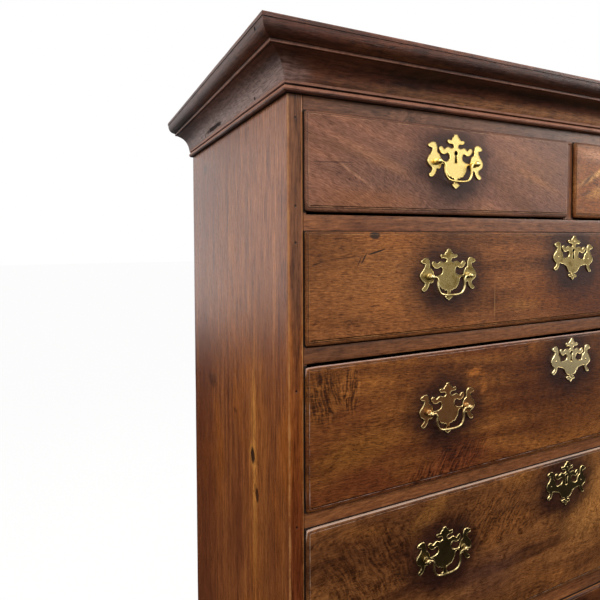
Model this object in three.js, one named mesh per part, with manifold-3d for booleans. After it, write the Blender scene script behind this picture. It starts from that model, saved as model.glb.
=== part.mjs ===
// A flat-top walnut highboy: an upper case with six drawers under a cornice, which stands on a
// lower case with three drawers, a shaped apron and four cabriole legs.
// Millimetres, X to the right, Y to the back, Z up. The origin lies on the floor, in the middle.
import * as THREE from 'three';
import { mergeVertices } from 'three/addons/utils/BufferGeometryUtils.js';
import Module from 'manifold-3d';

const wasm = await Module();
wasm.setup();

// Upper case
const caseWidth = 980;
const caseDepth = 486;
const sideThickness = 20;
const facingThickness = 5;
const stileWidth = 25;
const railDepth = 60;
const dividerWidth = 24;
const shortDrawerHeight = 112;
const longDrawerHeights = [131, 171, 204, 230];
const bladeHeights = [31.5, 33, 28, 33.5];
const friezeHeight = 21.5;
const baseRailHeight = 48;
const backThickness = 14;
const boardThickness = 18;
const runnerWidth = 24;
const runnerHeight = 20;
const guideHeight = 30;
const topDrop = 4;

// Cornice
const corniceHeight = 65;
const corniceOut = 50;
const corniceBeadRadius = 4.25;

// Waist moulding, and the lower case's step out from the upper case
const lowerStep = 22;
const waistHeight = 24;
const waistOverhang = 6;

// Lower case
const lowerTop = 820;
const postSize = 46;
const postReveal = 1.5;
const lowerBoard = 22;
const topRail = 28;
const deepDrawerWidth = 260;
const deepDrawerHeight = 190;
const shallowDrawerHeight = 105;
const lowerPartition = 20;
const lowerEndStile = 10;
const apronFoot = 470;
const apronRail = 15;

// Cabriole legs
const kneeOut = 24;
const kneeRadius = 33;
const footRadius = 38;
const ankleRadius = 15;
const legSides = 16;

// Drawers
const lipOverlap = 4;
const lipProud = 5.5;
const lipEdge = 2;
const lipRound = 2.8;
const fieldStep = 0.5;
const fieldFillet = 0.5;
const frontBody = 14;
const roundSteps = 3;
const drawerClearance = 2;
const boxClearance = 3;
const boxTopClearance = 12;
const boxRearClearance = 30;
const boxWall = 12;
const boxBottom = 10;

// Brasses
const pullSpacing = 67;
const plateHalf = 49;
const plateHeight = 75;
const plainPlateShare = 0.95;
const escutcheonShare = 0.94;
const plateThickness = 1.8;
const postFlange = 4.6;
const postShank = 3.2;
const postHead = 4.1;
const postLength = 10.8;
const bailOut = 6.6;
const bailRadius = 1.7;
const bailPlay = 0.45;
const bailDrop = 25.6;
const bailPinProud = 1.6;
const bailSteps = 24;
const bailSides = 6;
const postSides = 8;
const keyRadius = 3.3;
const keySlot = 5.6;
const keyRise = 13.6;
const keyLength = 13.8;
const keyDepth = 12;
const longPullOffset = 255;
const escutcheonDrop = 42;

// Fits
const jointGap = 0.3;
const seatGap = 0.3;
const runGap = 0.3;
const overrun = 2;

// Half outlines of the pierced plates, from the top point round to the bottom point:
// shares of half the plate's width outwards, and of the plate height upwards.
const plateOutlineShares = [
  [0, 0.523], [0.069, 0.48], [0.155, 0.416], [0.273, 0.413], [0.265, 0.357],
  [0.076, 0.328], [0.076, 0.285], [0.151, 0.259], [0.306, 0.283], [0.437, 0.232],
  [0.543, 0.285], [0.596, 0.252], [0.494, 0.159], [0.4, 0.152], [0.253, 0.165],
  [0.22, 0.112], [0.278, 0.04], [0.408, 0.005], [0.539, 0.013], [0.563, 0.088],
  [0.678, 0.168], [0.751, 0.344], [0.935, 0.317], [0.971, 0.283], [0.833, 0.245],
  [0.886, 0.136], [1, 0.016], [0.971, -0.048], [0.829, -0.123], [0.935, -0.224],
  [0.857, -0.272], [0.718, -0.171],
];
const pullShieldShares = [
  [0.69, -0.117], [0.555, -0.091], [0.522, -0.029], [0.38, -0.061], [0.359, -0.128],
  [0.278, -0.221], [0.135, -0.275], [0.049, -0.299], [0.053, -0.368], [0.118, -0.395],
  [0, -0.467],
];
const keyShieldShares = [
  [0.702, -0.115], [0.522, -0.125], [0.343, -0.165], [0.18, -0.296], [0.061, -0.315],
  [0.069, -0.347], [0.204, -0.368], [0.094, -0.411], [0, -0.475],
];

// Half path of a bail, from inside the post head to the middle of the grip:
// shares of half the pull spacing outwards, and of the bail's drop downwards.
const bailPathShares = [
  [1, 0], [0.88, 0], [0.764, 0.047], [0.699, 0.195], [0.704, 0.43], [0.675, 0.664],
  [0.552, 0.891], [0.313, 0.984], [0, 1],
];

// Outlines of the mouldings from the foot upwards, in shares of the reach and of the height.
const corniceNeckShare = 0.07;
const corniceShares = [
  [0.13, 0.21], [0.2, 0.56, 0.65, 0.63], [0.715, 0.63], [0.715, 0.69], [0.96, 0.72, 0.98, 0.92],
  [1, 0.92], [1, 1],
];
const waistShares = [
  [1, 0], [1, 0.16], [1, 0.42, 0.76, 0.44], [0.68, 0.44], [0.68, 0.52], [0.24, 0.56, 0.2, 0.96],
  [0.16, 1],
];

// Height of the pull posts below the top of each drawer front, as a share of the front's height.
const shortPullShare = 0.41;
const longPullShares = [0.435, 0.456, 0.4, 0.45];
const lowerPullShare = 0.5;

// How far the hand-set brasses stray: outwards from the drawer's middle for the pulls, to the
// right for the escutcheons, which also tilt clockwise by some degrees.
const shortPullStray = 1.7;
const longPullStrays = [-3.5, -3.2, 1, 0];
const escutcheonStrays = [4, 2.3, -4.9, 0];
const escutcheonTilts = [3.5, 2.5, 3, 0];

// Rings of a leg below its post: height as a share of the apron's foot, outer face beyond the
// post as a share of the knee's, and how square the ring is. Half widths come with the table.
const legHeightShares = [1, 0.94, 0.85, 0.74, 0.62, 0.47, 0.32, 0.2, 0.13];
const legReachShares = [0, 0.62, 1, 0.75, 0.2, -0.42, -0.86, -0.95, -0.72];
const legSquareShares = [1, 0.8, 0.55, 0.4, 0.25, 0.12, 0, 0, 0];
const legTaperShares = [1, 1, 0.92, 0.74, 0.54, 0.32, 0.14, 0, 0.1];
const footHeightShares = [0.095, 0.065, 0.04, 0.018, 0];
const footReachShares = [-0.2, 0.55, 0.9, 0.86, 0.45];
const footRadiusShares = [0.6, 0.86, 1, 0.96, 0.78];

// Half of the apron's lower edge, from the post to the middle: share of the half width, and of
// the rise from the foot of the apron to the top of its arch.
const apronShares = [
  [1, 0], [0.955, 0.02], [0.92, 0.2], [0.87, 0.42], [0.8, 0.5], [0.62, 0.5], [0.53, 0.42],
  [0.475, 0.22], [0.42, 0.12], [0.365, 0.24], [0.335, 0.6], [0.27, 0.9], [0.19, 1], [0, 1],
];

const walnut = { color: 0x6b3f22, roughness: 0.42, metalness: 0 };
const figuredWalnut = { color: 0x7a4c28, roughness: 0.38, metalness: 0 };
const poplar = { color: 0xb08a55, roughness: 0.75, metalness: 0 };
const brass = { color: 0xc9a04a, roughness: 0.3, metalness: 1 };

// Places that follow from the sizes
const caseHalf = caseWidth / 2;
const innerHalf = caseHalf - sideThickness;
const openingHalf = caseHalf - stileWidth;
const totalDepth = corniceOut + caseDepth + kneeOut;
const faceY = corniceOut - totalDepth / 2;
const backY = faceY + caseDepth;
const lowerFaceY = faceY - lowerStep;
const lowerHalf = caseHalf + lowerStep;
const postInner = lowerHalf - postSize;
const lowerOpeningHalf = postInner - lowerEndStile;
const shallowDrawerWidth = 2 * (lowerOpeningHalf - deepDrawerWidth - lowerPartition);
const shortDrawerWidth = openingHalf - dividerWidth / 2;
const boxDepth = caseDepth - backThickness - frontBody - boxRearClearance;

// Upper rows from the bottom rail upwards, each with the height of its sill.
function upperRows() {
  const rows = [];
  let sill = lowerTop + baseRailHeight;
  for (let row = longDrawerHeights.length - 1; row >= 0; row -= 1) {
    rows.unshift({ sill, height: longDrawerHeights[row] });
    sill += longDrawerHeights[row] + bladeHeights[row];
  }
  rows.unshift({ sill, height: shortDrawerHeight });
  return rows;
}
const rows = upperRows();
const corniceFoot = rows[0].sill + shortDrawerHeight + friezeHeight;
const caseTop = corniceFoot + corniceHeight - topDrop;

// Geometry helpers
function facesOf(ring) {
  const size = new THREE.Box3().setFromPoints(ring).getSize(new THREE.Vector3());
  const axes = ['x', 'y', 'z'].sort((a, b) => size[b] - size[a]).slice(0, 2);
  const outline = ring.map((p) => new THREE.Vector2(p[axes[0]], p[axes[1]]));
  const turn = Math.sign(THREE.ShapeUtils.area(outline));
  return THREE.ShapeUtils.triangulateShape(outline, []).map((face) => {
    const area = THREE.ShapeUtils.area(face.map((i) => outline[i]));
    return area * turn > 0 ? face : face.toReversed();
  });
}

// A closed skin over rings with equal point counts, capped at the first and the last ring.
function loft(rings) {
  const count = rings[0].length;
  const faces = facesOf(rings[0]).map((face) => face.toReversed());
  for (let r = 0; r + 1 < rings.length; r += 1) {
    for (let i = 0; i < count; i += 1) {
      const a = r * count + i;
      const b = r * count + ((i + 1) % count);
      faces.push([a, b, b + count], [a, b + count, a + count]);
    }
  }
  const last = (rings.length - 1) * count;
  faces.push(...facesOf(rings.at(-1)).map((face) => face.map((i) => i + last)));
  const points = rings.flat();
  const volume = faces.reduce((sum, [a, b, c]) => {
    const cross = new THREE.Vector3().crossVectors(points[b], points[c]);
    return sum + points[a].dot(cross);
  }, 0);
  const geometry = new THREE.BufferGeometry().setFromPoints(points);
  geometry.setIndex(volume < 0 ? faces.flatMap((face) => face.toReversed()) : faces.flat());
  return geometry;
}

function rectangle(x0, x1, y0, y1, z) {
  return [[x0, y0], [x1, y0], [x1, y1], [x0, y1]].map(([x, y]) => new THREE.Vector3(x, y, z));
}

function slab(x0, x1, y0, y1, z0, z1) {
  return loft([rectangle(x0, x1, y0, y1, z0), rectangle(x0, x1, y0, y1, z1)]);
}

function toSolid(geometry) {
  const bare = new THREE.BufferGeometry();
  const loose = geometry.index ? geometry.toNonIndexed() : geometry;
  bare.setAttribute('position', loose.getAttribute('position'));
  const welded = mergeVertices(bare);
  const vertProperties = welded.attributes.position.array;
  const triVerts = Uint32Array.from(welded.index.array);
  return new wasm.Manifold(new wasm.Mesh({ numProp: 3, vertProperties, triVerts }));
}

function toGeometry(solid) {
  const { vertProperties, triVerts } = solid.getMesh();
  const geometry = new THREE.BufferGeometry();
  geometry.setAttribute('position', new THREE.BufferAttribute(vertProperties, 3));
  geometry.setIndex(new THREE.BufferAttribute(triVerts, 1));
  return geometry;
}

function join(pieces) {
  const solids = pieces.map(toSolid);
  return toGeometry(solids.slice(1).reduce((whole, solid) => whole.add(solid), solids[0]));
}

function cut(body, tools) {
  return toGeometry(tools.reduce((left, tool) => left.subtract(toSolid(tool)), toSolid(body)));
}

// A board cut from a shape drawn in X and Z, from its front face at y back by its thickness.
function uprightBoard(shape, y, thickness) {
  const geometry = new THREE.ExtrudeGeometry(shape, { depth: thickness, bevelEnabled: false });
  return geometry.rotateX(Math.PI / 2).translate(0, y + thickness, 0);
}

// A moulding run along the left side, the front and the right side, with mitred corners.
function mitredMoulding(profile, foot) {
  const stations = [
    (out) => [-caseHalf - out, backY],
    (out) => [-caseHalf - out, faceY - out],
    (out) => [caseHalf + out, faceY - out],
    (out) => [caseHalf + out, backY],
  ];
  return loft(stations.map((place) => profile.map((point) => {
    const [x, y] = place(point.x);
    return new THREE.Vector3(x, y, foot + point.y);
  })));
}

const highboy = new THREE.Group();

function addPiece(parent, name, geometry, finish) {
  const piece = new THREE.Mesh(geometry, new THREE.MeshStandardMaterial(finish));
  piece.name = name;
  parent.add(piece);
  return piece;
}

// Upper case
function upperSide(side) {
  const pieces = [
    slab(side * innerHalf, side * caseHalf, faceY + facingThickness + jointGap, backY, lowerTop, caseTop),
  ];
  rows.forEach(({ sill }) => {
    const innerX = side * (innerHalf - runnerWidth);
    const frontY = faceY + railDepth + jointGap;
    const rearY = backY - backThickness - jointGap;
    pieces.push(slab(innerX, side * innerHalf, frontY, rearY, sill - runnerHeight, sill));
  });
  return join(pieces);
}

function upperBoards() {
  const half = innerHalf - jointGap;
  const frontY = faceY + railDepth + jointGap;
  return join([
    slab(-half, half, backY - backThickness, backY, lowerTop, caseTop),
    slab(-half, half, frontY, backY - backThickness, lowerTop, lowerTop + boardThickness),
    slab(-half, half, frontY, backY - backThickness, caseTop - boardThickness, caseTop),
  ]);
}

function upperFaceFrame() {
  const half = innerHalf - jointGap;
  const rearY = faceY + railDepth;
  const short = rows[0];
  const windows = rows.slice(1).map(({ sill, height }) => [-openingHalf, openingHalf, sill, height]);
  windows.push([-openingHalf, -dividerWidth / 2, short.sill, short.height]);
  windows.push([dividerWidth / 2, openingHalf, short.sill, short.height]);
  const facing = cut(
    slab(-caseHalf, caseHalf, faceY, faceY + facingThickness, lowerTop, caseTop),
    windows.map(([x0, x1, sill, height]) => (
      slab(x0, x1, faceY - overrun, faceY + facingThickness + overrun, sill, sill + height)
    )),
  );
  const tongue = faceY + facingThickness / 2;
  const rails = [slab(-half, half, tongue, rearY, lowerTop, lowerTop + baseRailHeight)];
  rows.slice(1).forEach(({ sill, height }, row) => {
    const foot = sill + height;
    rails.push(slab(-half, half, tongue, rearY, foot, foot + bladeHeights[row]));
  });
  rails.push(slab(-half, half, tongue, rearY, short.sill + short.height, caseTop));
  const divider = dividerWidth / 2;
  const guideBack = backY - backThickness - jointGap;
  const centre = [
    slab(-divider, divider, tongue, rearY, short.sill, short.sill + short.height),
    slab(-runnerWidth, runnerWidth, rearY, guideBack, short.sill - runnerHeight, short.sill),
    slab(-divider, divider, rearY, guideBack, short.sill, short.sill + guideHeight),
  ];
  return join([facing, ...rails, ...centre]);
}

// A moulding's rear edge, drawn down to its foot.
function mouldingLine(height) {
  const line = new THREE.Shape();
  line.moveTo(jointGap, height);
  line.lineTo(jointGap, 0);
  return line;
}

// Goes on up a moulding's front. Each step is in shares of its reach and its height: one pair
// draws a straight line, and two pairs draw a curve that bends towards the first.
function drawMoulding(line, shares, reach, height) {
  shares.forEach((step) => {
    const at = step.map((share, i) => share * (i % 2 ? height : reach));
    if (at.length > 2) line.quadraticCurveTo(...at);
    else line.lineTo(...at);
  });
  return line;
}

function corniceProfile() {
  const beadX = corniceNeckShare * corniceOut;
  const line = mouldingLine(corniceHeight);
  line.absarc(beadX, corniceBeadRadius, corniceBeadRadius, -Math.PI / 2, Math.PI / 2, false);
  line.lineTo(corniceShares[0][0] * corniceOut, 2 * corniceBeadRadius);
  return drawMoulding(line, corniceShares, corniceOut, corniceHeight).getPoints(5);
}

function waistProfile() {
  const reach = lowerStep + waistOverhang;
  return drawMoulding(mouldingLine(waistHeight), waistShares, reach, waistHeight).getPoints(4);
}

const upperCase = new THREE.Group();
highboy.add(upperCase);
addPiece(upperCase, 'upper_side_left', upperSide(-1), walnut);
addPiece(upperCase, 'upper_side_right', upperSide(1), walnut);
addPiece(upperCase, 'upper_back_top_bottom', upperBoards(), poplar);
addPiece(upperCase, 'upper_face_frame', upperFaceFrame(), walnut);
addPiece(upperCase, 'cornice', mitredMoulding(corniceProfile(), corniceFoot), walnut);

// Lower case
const deepSill = lowerTop - topRail - deepDrawerHeight;
const shallowSill = lowerTop - topRail - shallowDrawerHeight;
const deepDrawerX = lowerOpeningHalf - deepDrawerWidth / 2;
const apronArch = deepSill - apronRail;

function lowerCase() {
  const outer = lowerHalf - postReveal;
  const inner = outer - lowerBoard;
  const postBack = lowerFaceY + postSize + jointGap;
  const rearPost = backY - postSize - jointGap;
  const rearInner = backY - postReveal - lowerBoard;
  const frontInner = lowerFaceY + postReveal + lowerBoard + jointGap;
  const ledge = lowerOpeningHalf - runnerWidth;
  const clear = postInner - jointGap;
  const deepFoot = deepSill - runnerHeight;
  const partitionX = shallowDrawerWidth / 2;
  const partitionOuter = partitionX + lowerPartition;
  const pieces = [slab(-clear, clear, rearInner, backY - postReveal, apronFoot, lowerTop)];
  [-1, 1].forEach((side) => {
    const across = (a, b, y0, y1, z0, z1) => pieces.push(slab(side * a, side * b, y0, y1, z0, z1));
    across(inner, outer, postBack, rearPost, apronFoot, lowerTop);
    across(clear, inner, postBack, rearPost, deepFoot, deepSill);
    const through = (a, b, z0, z1) => across(a, b, frontInner, rearInner, z0, z1);
    through(partitionX, partitionOuter, deepFoot, lowerTop - runnerHeight);
    through(partitionOuter, partitionOuter + runnerWidth, deepFoot, deepSill);
    through(partitionX - runnerWidth, partitionX, shallowSill - runnerHeight, shallowSill);
    through(ledge, clear, deepFoot, deepSill);
  });
  return join(pieces);
}

function lowerFront() {
  const half = postInner - jointGap;
  const rise = apronArch - apronFoot;
  const right = apronShares.map(([x, z]) => new THREE.Vector2(x * half, apronFoot + z * rise));
  const edge = new THREE.SplineCurve(right).getPoints(2 * right.length).slice(0, -1);
  const outline = [new THREE.Vector2(-half, lowerTop), new THREE.Vector2(half, lowerTop), ...edge];
  outline.push(new THREE.Vector2(0, apronArch));
  outline.push(...edge.toReversed().map((p) => new THREE.Vector2(-p.x, p.y)));
  const openings = [
    [-lowerOpeningHalf, deepDrawerWidth, deepSill],
    [-shallowDrawerWidth / 2, shallowDrawerWidth, shallowSill],
    [lowerOpeningHalf - deepDrawerWidth, deepDrawerWidth, deepSill],
  ];
  const board = uprightBoard(new THREE.Shape(outline), lowerFaceY + postReveal, lowerBoard);
  const rear = lowerFaceY + postReveal + lowerBoard + overrun;
  return cut(board, openings.map(([x, width, sill]) => (
    slab(x, x + width, lowerFaceY - overrun, rear, sill, lowerTop - topRail)
  )));
}

// A leg's ring around its own centre line, between a circle and a square of the same half width.
function legRing(z, reach, halfWidth, square) {
  const centre = postSize / 2 + reach - halfWidth;
  const ring = [];
  for (let i = 0; i < legSides; i += 1) {
    const angle = (2 * Math.PI * i) / legSides;
    const [c, s] = [Math.cos(angle), Math.sin(angle)];
    const radius = halfWidth * THREE.MathUtils.lerp(1, 1 / Math.max(Math.abs(c), Math.abs(s)), square);
    ring.push(new THREE.Vector3(centre + radius * c, centre + radius * s, z));
  }
  return ring;
}

function cabrioleLeg() {
  const post = postSize / 2;
  const rings = [legRing(lowerTop, 0, post, 1)];
  legHeightShares.forEach((height, i) => {
    const thick = i === 0 ? post : THREE.MathUtils.lerp(ankleRadius, kneeRadius, legTaperShares[i]);
    rings.push(legRing(height * apronFoot, legReachShares[i] * kneeOut, thick, legSquareShares[i]));
  });
  footHeightShares.forEach((height, i) => {
    const radius = footRadiusShares[i] * footRadius;
    rings.push(legRing(height * apronFoot, footReachShares[i] * kneeOut, radius, 0));
  });
  return loft(rings);
}

const lowerGroup = new THREE.Group();
highboy.add(lowerGroup);
addPiece(lowerGroup, 'waist_moulding', mitredMoulding(waistProfile(), lowerTop), walnut);
addPiece(lowerGroup, 'lower_case', lowerCase(), walnut);
addPiece(lowerGroup, 'lower_front', lowerFront(), walnut);
const legPlaces = { front: lowerFaceY + postSize / 2, back: backY - postSize / 2 };
Object.entries(legPlaces).forEach(([end, y]) => {
  [['left', -1], ['right', 1]].forEach(([hand, side]) => {
    const leg = addPiece(lowerGroup, `leg_${end}_${hand}`, cabrioleLeg(), walnut);
    leg.position.set(side * (lowerHalf - postSize / 2), y, 0);
    leg.scale.set(side, end === 'front' ? -1 : 1, 1);
  });
});

// Brasses, drawn around the middle of the two posts, with the drawer front's face at y = 0
function keyhole() {
  const spread = Math.PI / 3;
  const foot = keyRise - keyLength;
  const hole = new THREE.Path();
  hole.absarc(0, keyRise, keyRadius, -spread, Math.PI + spread, false);
  hole.lineTo(-keySlot / 2, foot);
  hole.lineTo(keySlot / 2, foot);
  return new THREE.Path(hole.getPoints(4));
}

function plate(shieldShares, keyed, across = 1, upright = 1, tilt = 0) {
  const [wide, tall] = [plateHalf * across, plateHeight * upright];
  const right = [...plateOutlineShares, ...shieldShares].map(([x, z]) => (
    new THREE.Vector2(x * wide, z * tall)
  ));
  const left = right.slice(1, -1).toReversed().map((p) => new THREE.Vector2(-p.x, p.y));
  const turn = -THREE.MathUtils.degToRad(tilt);
  const outline = [...right, ...left].map((p) => p.rotateAround(new THREE.Vector2(), turn));
  const shape = new THREE.Shape(outline);
  if (keyed) shape.holes.push(keyhole());
  return uprightBoard(shape, -seatGap - plateThickness, plateThickness);
}

function pullPost(x) {
  const root = -seatGap - plateThickness / 2;
  const neck = (bailOut - postShank / 2 + plateThickness - root) / 2;
  const profile = [
    [0, -postLength], [postHead / 2, -postLength],
    [postHead, -bailOut - postShank / 2], [postHead, -bailOut + postShank / 2],
    [postShank, -neck], [postFlange, root - plateThickness], [postFlange, root], [0, root],
  ];
  const points = profile.map(([radius, y]) => new THREE.Vector2(radius, y));
  return new THREE.LatheGeometry(points, postSides).translate(x, 0, 0);
}

function pullPlate(keyed) {
  const half = pullSpacing / 2;
  const reach = 2 * (postHead + overrun);
  const boreRadius = bailRadius + bailPlay;
  const holes = [-half, half].map((x) => {
    const bore = new THREE.CylinderGeometry(boreRadius, boreRadius, reach, postSides);
    return bore.rotateZ(Math.PI / 2).translate(x, -bailOut, 0);
  });
  const back = plate(pullShieldShares, keyed, 1, keyed ? 1 : plainPlateShare);
  return cut(join([back, pullPost(-half), pullPost(half)]), holes);
}

function bail() {
  const half = pullSpacing / 2;
  const right = bailPathShares.map(([x, z]) => new THREE.Vector3(x * half, 0, -z * bailDrop));
  right.unshift(new THREE.Vector3(half + postHead + bailPinProud, 0, 0));
  const left = right.slice(0, -1).toReversed().map((p) => new THREE.Vector3(-p.x, 0, p.z));
  const circle = new THREE.Path().absarc(0, 0, bailRadius, 0, 2 * Math.PI);
  const section = new THREE.Shape(circle.getPoints(bailSides).slice(0, bailSides));
  const extrudePath = new THREE.CatmullRomCurve3([...right, ...left]);
  return new THREE.ExtrudeGeometry(section, { steps: bailSteps, extrudePath });
}

// Drawers, drawn around the foot of the opening's middle, with the face frame's front at y = 0
function drawerFront(width, height, keyPlace) {
  const middle = height / 2;
  const ring = (grow, y) => {
    const [w, h] = [width / 2 + grow, middle + grow];
    return [[-w, -h], [w, -h], [w, h], [-w, h]].map(([x, z]) => new THREE.Vector3(x, y, middle + z));
  };
  const edgeY = -seatGap - lipEdge;
  const roundY = lipProud - lipEdge - seatGap - fieldStep;
  const rings = [
    ring(-drawerClearance, frontBody),
    ring(-drawerClearance, -seatGap),
    ring(lipOverlap, -seatGap),
  ];
  for (let step = 0; step <= roundSteps; step += 1) {
    const angle = (step / roundSteps) * (Math.PI / 2);
    rings.push(ring(lipOverlap - lipRound * (1 - Math.cos(angle)), edgeY - roundY * Math.sin(angle)));
  }
  rings.push(ring(lipOverlap - lipRound - fieldFillet, -lipProud));
  const board = loft(rings);
  if (!keyPlace) return board;
  const keyShape = new THREE.Shape(keyhole().getPoints());
  const pocket = uprightBoard(keyShape, -lipProud - overrun, keyDepth + overrun);
  return cut(board, [pocket.translate(keyPlace.x, 0, keyPlace.z)]);
}

function drawerBox(width, height) {
  const half = width / 2 - boxClearance;
  const top = height - boxTopClearance;
  const rear = frontBody + boxDepth;
  return join([
    slab(-half, half, frontBody, rear, runGap, runGap + boxBottom),
    slab(-half, boxWall - half, frontBody, rear, runGap, top),
    slab(half - boxWall, half, frontBody, rear, runGap, top),
    slab(-half, half, rear - boxWall, rear, runGap, top),
  ]);
}

function addPull(drawer, name, x, z, keyed) {
  const pull = new THREE.Group();
  pull.position.set(x, -lipProud, z);
  drawer.add(pull);
  addPiece(pull, `${name}_plate`, pullPlate(keyed), brass);
  const swing = addPiece(pull, `${name}_bail`, bail(), brass);
  swing.position.set(0, -bailOut, 0);
}

function addDrawer(name, place) {
  const {
    x = 0, sill, faceAt, width, height, pullShare, pullOffset = 0, pullStray = 0,
    keyStray = 0, keyTilt = 0, locked = false,
  } = place;
  const drawer = new THREE.Group();
  drawer.position.set(x, faceAt, sill);
  highboy.add(drawer);
  const lipTop = height + lipOverlap;
  const pullZ = lipTop - pullShare * (height + 2 * lipOverlap);
  const keyZ = pullOffset ? lipTop - escutcheonDrop : pullZ;
  const keyX = pullOffset ? keyStray : pullStray;
  const keyPlace = locked ? new THREE.Vector3(keyX, 0, keyZ) : null;
  addPiece(drawer, `${name}_front`, drawerFront(width, height, keyPlace), figuredWalnut);
  addPiece(drawer, `${name}_box`, drawerBox(width, height), poplar);
  if (!pullOffset) {
    addPull(drawer, `${name}_pull`, pullStray, pullZ, locked);
    return;
  }
  const reach = pullOffset + pullStray;
  addPull(drawer, `${name}_pull_left`, -reach, pullZ, false);
  addPull(drawer, `${name}_pull_right`, reach, pullZ, false);
  const keyPlate = plate(keyShieldShares, true, escutcheonShare, escutcheonShare, keyTilt);
  const escutcheon = addPiece(drawer, `${name}_escutcheon`, keyPlate, brass);
  escutcheon.position.set(keyX, -lipProud, keyZ);
}

const shortX = (dividerWidth + shortDrawerWidth) / 2;
[['left', -1], ['right', 1]].forEach(([hand, side]) => {
  addDrawer(`upper_short_${hand}`, {
    x: side * shortX,
    sill: rows[0].sill,
    faceAt: faceY,
    width: shortDrawerWidth,
    height: shortDrawerHeight,
    pullShare: shortPullShare,
    pullStray: side * shortPullStray,
    locked: true,
  });
});
rows.slice(1).forEach(({ sill, height }, row) => {
  addDrawer(`upper_long_${row + 1}`, {
    sill,
    faceAt: faceY,
    width: 2 * openingHalf,
    height,
    pullShare: longPullShares[row],
    pullOffset: longPullOffset,
    pullStray: longPullStrays[row],
    keyStray: escutcheonStrays[row],
    keyTilt: escutcheonTilts[row],
    locked: true,
  });
});
[['left', -1], ['right', 1]].forEach(([hand, side]) => {
  addDrawer(`lower_${hand}`, {
    x: side * deepDrawerX,
    sill: deepSill,
    faceAt: lowerFaceY + postReveal,
    width: deepDrawerWidth,
    height: deepDrawerHeight,
    pullShare: lowerPullShare,
  });
});
addDrawer('lower_centre', {
  sill: shallowSill,
  faceAt: lowerFaceY + postReveal,
  width: shallowDrawerWidth,
  height: shallowDrawerHeight,
  pullShare: lowerPullShare,
});

export default highboy;
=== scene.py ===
import math

import bmesh
import bpy
from mathutils import Matrix, Vector, noise
from mathutils.geometry import tessellate_polygon


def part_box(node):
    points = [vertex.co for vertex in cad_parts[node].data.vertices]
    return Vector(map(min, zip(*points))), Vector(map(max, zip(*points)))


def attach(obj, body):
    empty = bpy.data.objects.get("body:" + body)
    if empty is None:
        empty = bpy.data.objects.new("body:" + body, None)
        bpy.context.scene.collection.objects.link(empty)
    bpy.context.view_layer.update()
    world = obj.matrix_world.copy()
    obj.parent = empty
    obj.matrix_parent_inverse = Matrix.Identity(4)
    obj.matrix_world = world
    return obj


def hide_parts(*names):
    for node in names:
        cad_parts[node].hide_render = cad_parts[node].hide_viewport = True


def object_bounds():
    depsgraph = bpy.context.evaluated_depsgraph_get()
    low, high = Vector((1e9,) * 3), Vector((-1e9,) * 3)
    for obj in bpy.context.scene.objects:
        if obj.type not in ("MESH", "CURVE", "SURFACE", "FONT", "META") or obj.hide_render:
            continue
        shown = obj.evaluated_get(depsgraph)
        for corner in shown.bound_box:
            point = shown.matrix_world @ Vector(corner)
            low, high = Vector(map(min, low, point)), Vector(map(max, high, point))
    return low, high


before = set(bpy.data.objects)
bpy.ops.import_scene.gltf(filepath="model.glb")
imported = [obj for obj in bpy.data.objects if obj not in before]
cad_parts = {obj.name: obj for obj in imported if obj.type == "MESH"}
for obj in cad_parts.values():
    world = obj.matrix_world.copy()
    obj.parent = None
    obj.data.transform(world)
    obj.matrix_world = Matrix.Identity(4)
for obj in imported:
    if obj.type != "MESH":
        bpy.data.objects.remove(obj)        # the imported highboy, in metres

cadLow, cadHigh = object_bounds()
print("frame loaded,", len(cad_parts), "nodes")

# Places that the other pieces are measured from
sideLow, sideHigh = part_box("upper_side_left")
faceLow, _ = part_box("upper_face_frame")
corniceLow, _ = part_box("cornice")
lowerLow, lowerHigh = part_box("lower_case")
caseHalf = -sideLow.x
faceY = faceLow.y
backY = sideHigh.y
caseFoot, caseTop = sideLow.z, sideHigh.z
corniceFoot = corniceLow.z
hand = {"left": -1, "right": 1}
mm = 0.001
through = 300                    # the reach of a patch through its board, in millimetres
innerBack = backY - 14.3 * mm    # the inner face of the back boards, with a hair's gap
lipOverlap = 4 * mm              # how far a front's lip covers the frame


# Camera and room
def placeCamera():
    shot = {"beside": 0.2321, "before": 0.5283, "below": 0.172, "turn": 25.12, "tilt": -1.88, "roll": 0.23,
            "lens": 29.38, "rise": -0.0723}
    place = (-caseHalf - shot["beside"], faceY - shot["before"], corniceFoot - shot["below"])
    turn, tilt, roll = (math.radians(shot[key]) for key in ("turn", "tilt", "roll"))
    ahead = Vector((math.sin(turn) * math.cos(tilt), math.cos(turn) * math.cos(tilt), math.sin(tilt)))
    level = Vector((math.cos(turn), -math.sin(turn), 0))
    across = level * math.cos(roll) + ahead.cross(level) * math.sin(roll)
    upright = across.cross(ahead)
    camera = bpy.data.objects.new("photographView", bpy.data.cameras.new("photographView"))
    camera.data.lens = shot["lens"]
    camera.data.shift_y = shot["rise"]
    camera.data.clip_start = 0.01
    camera.matrix_world = Matrix.Translation(place) @ Matrix((across, upright, -ahead)).transposed().to_4x4()
    bpy.context.scene.collection.objects.link(camera)
    bpy.context.scene.camera = camera


placeCamera()
bpy.context.scene.view_settings.view_transform = "Standard"


# Node helpers
def tone(code):                  # a colour as it looks on screen, such as "7a4a2c", in linear light
    parts = [int(code[i:i + 2], 16) / 255 for i in (0, 2, 4)]
    return (*[p / 12.92 if p <= 0.04045 else ((p + 0.055) / 1.055) ** 2.4 for p in parts], 1)


def addNode(tree, kind, inputs=None, **settings):
    node = tree.nodes.new("ShaderNode" + kind)
    for key, value in settings.items():
        setattr(node, key, value)
    for key, value in (inputs or {}).items():
        if isinstance(value, bpy.types.NodeSocket):
            tree.links.new(value, node.inputs[key])
        else:
            node.inputs[key].default_value = value
    return node


def calc(tree, operation, first, second=0.0, third=0.0):
    return addNode(tree, "Math", {0: first, 1: second, 2: third}, operation=operation).outputs[0]


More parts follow.
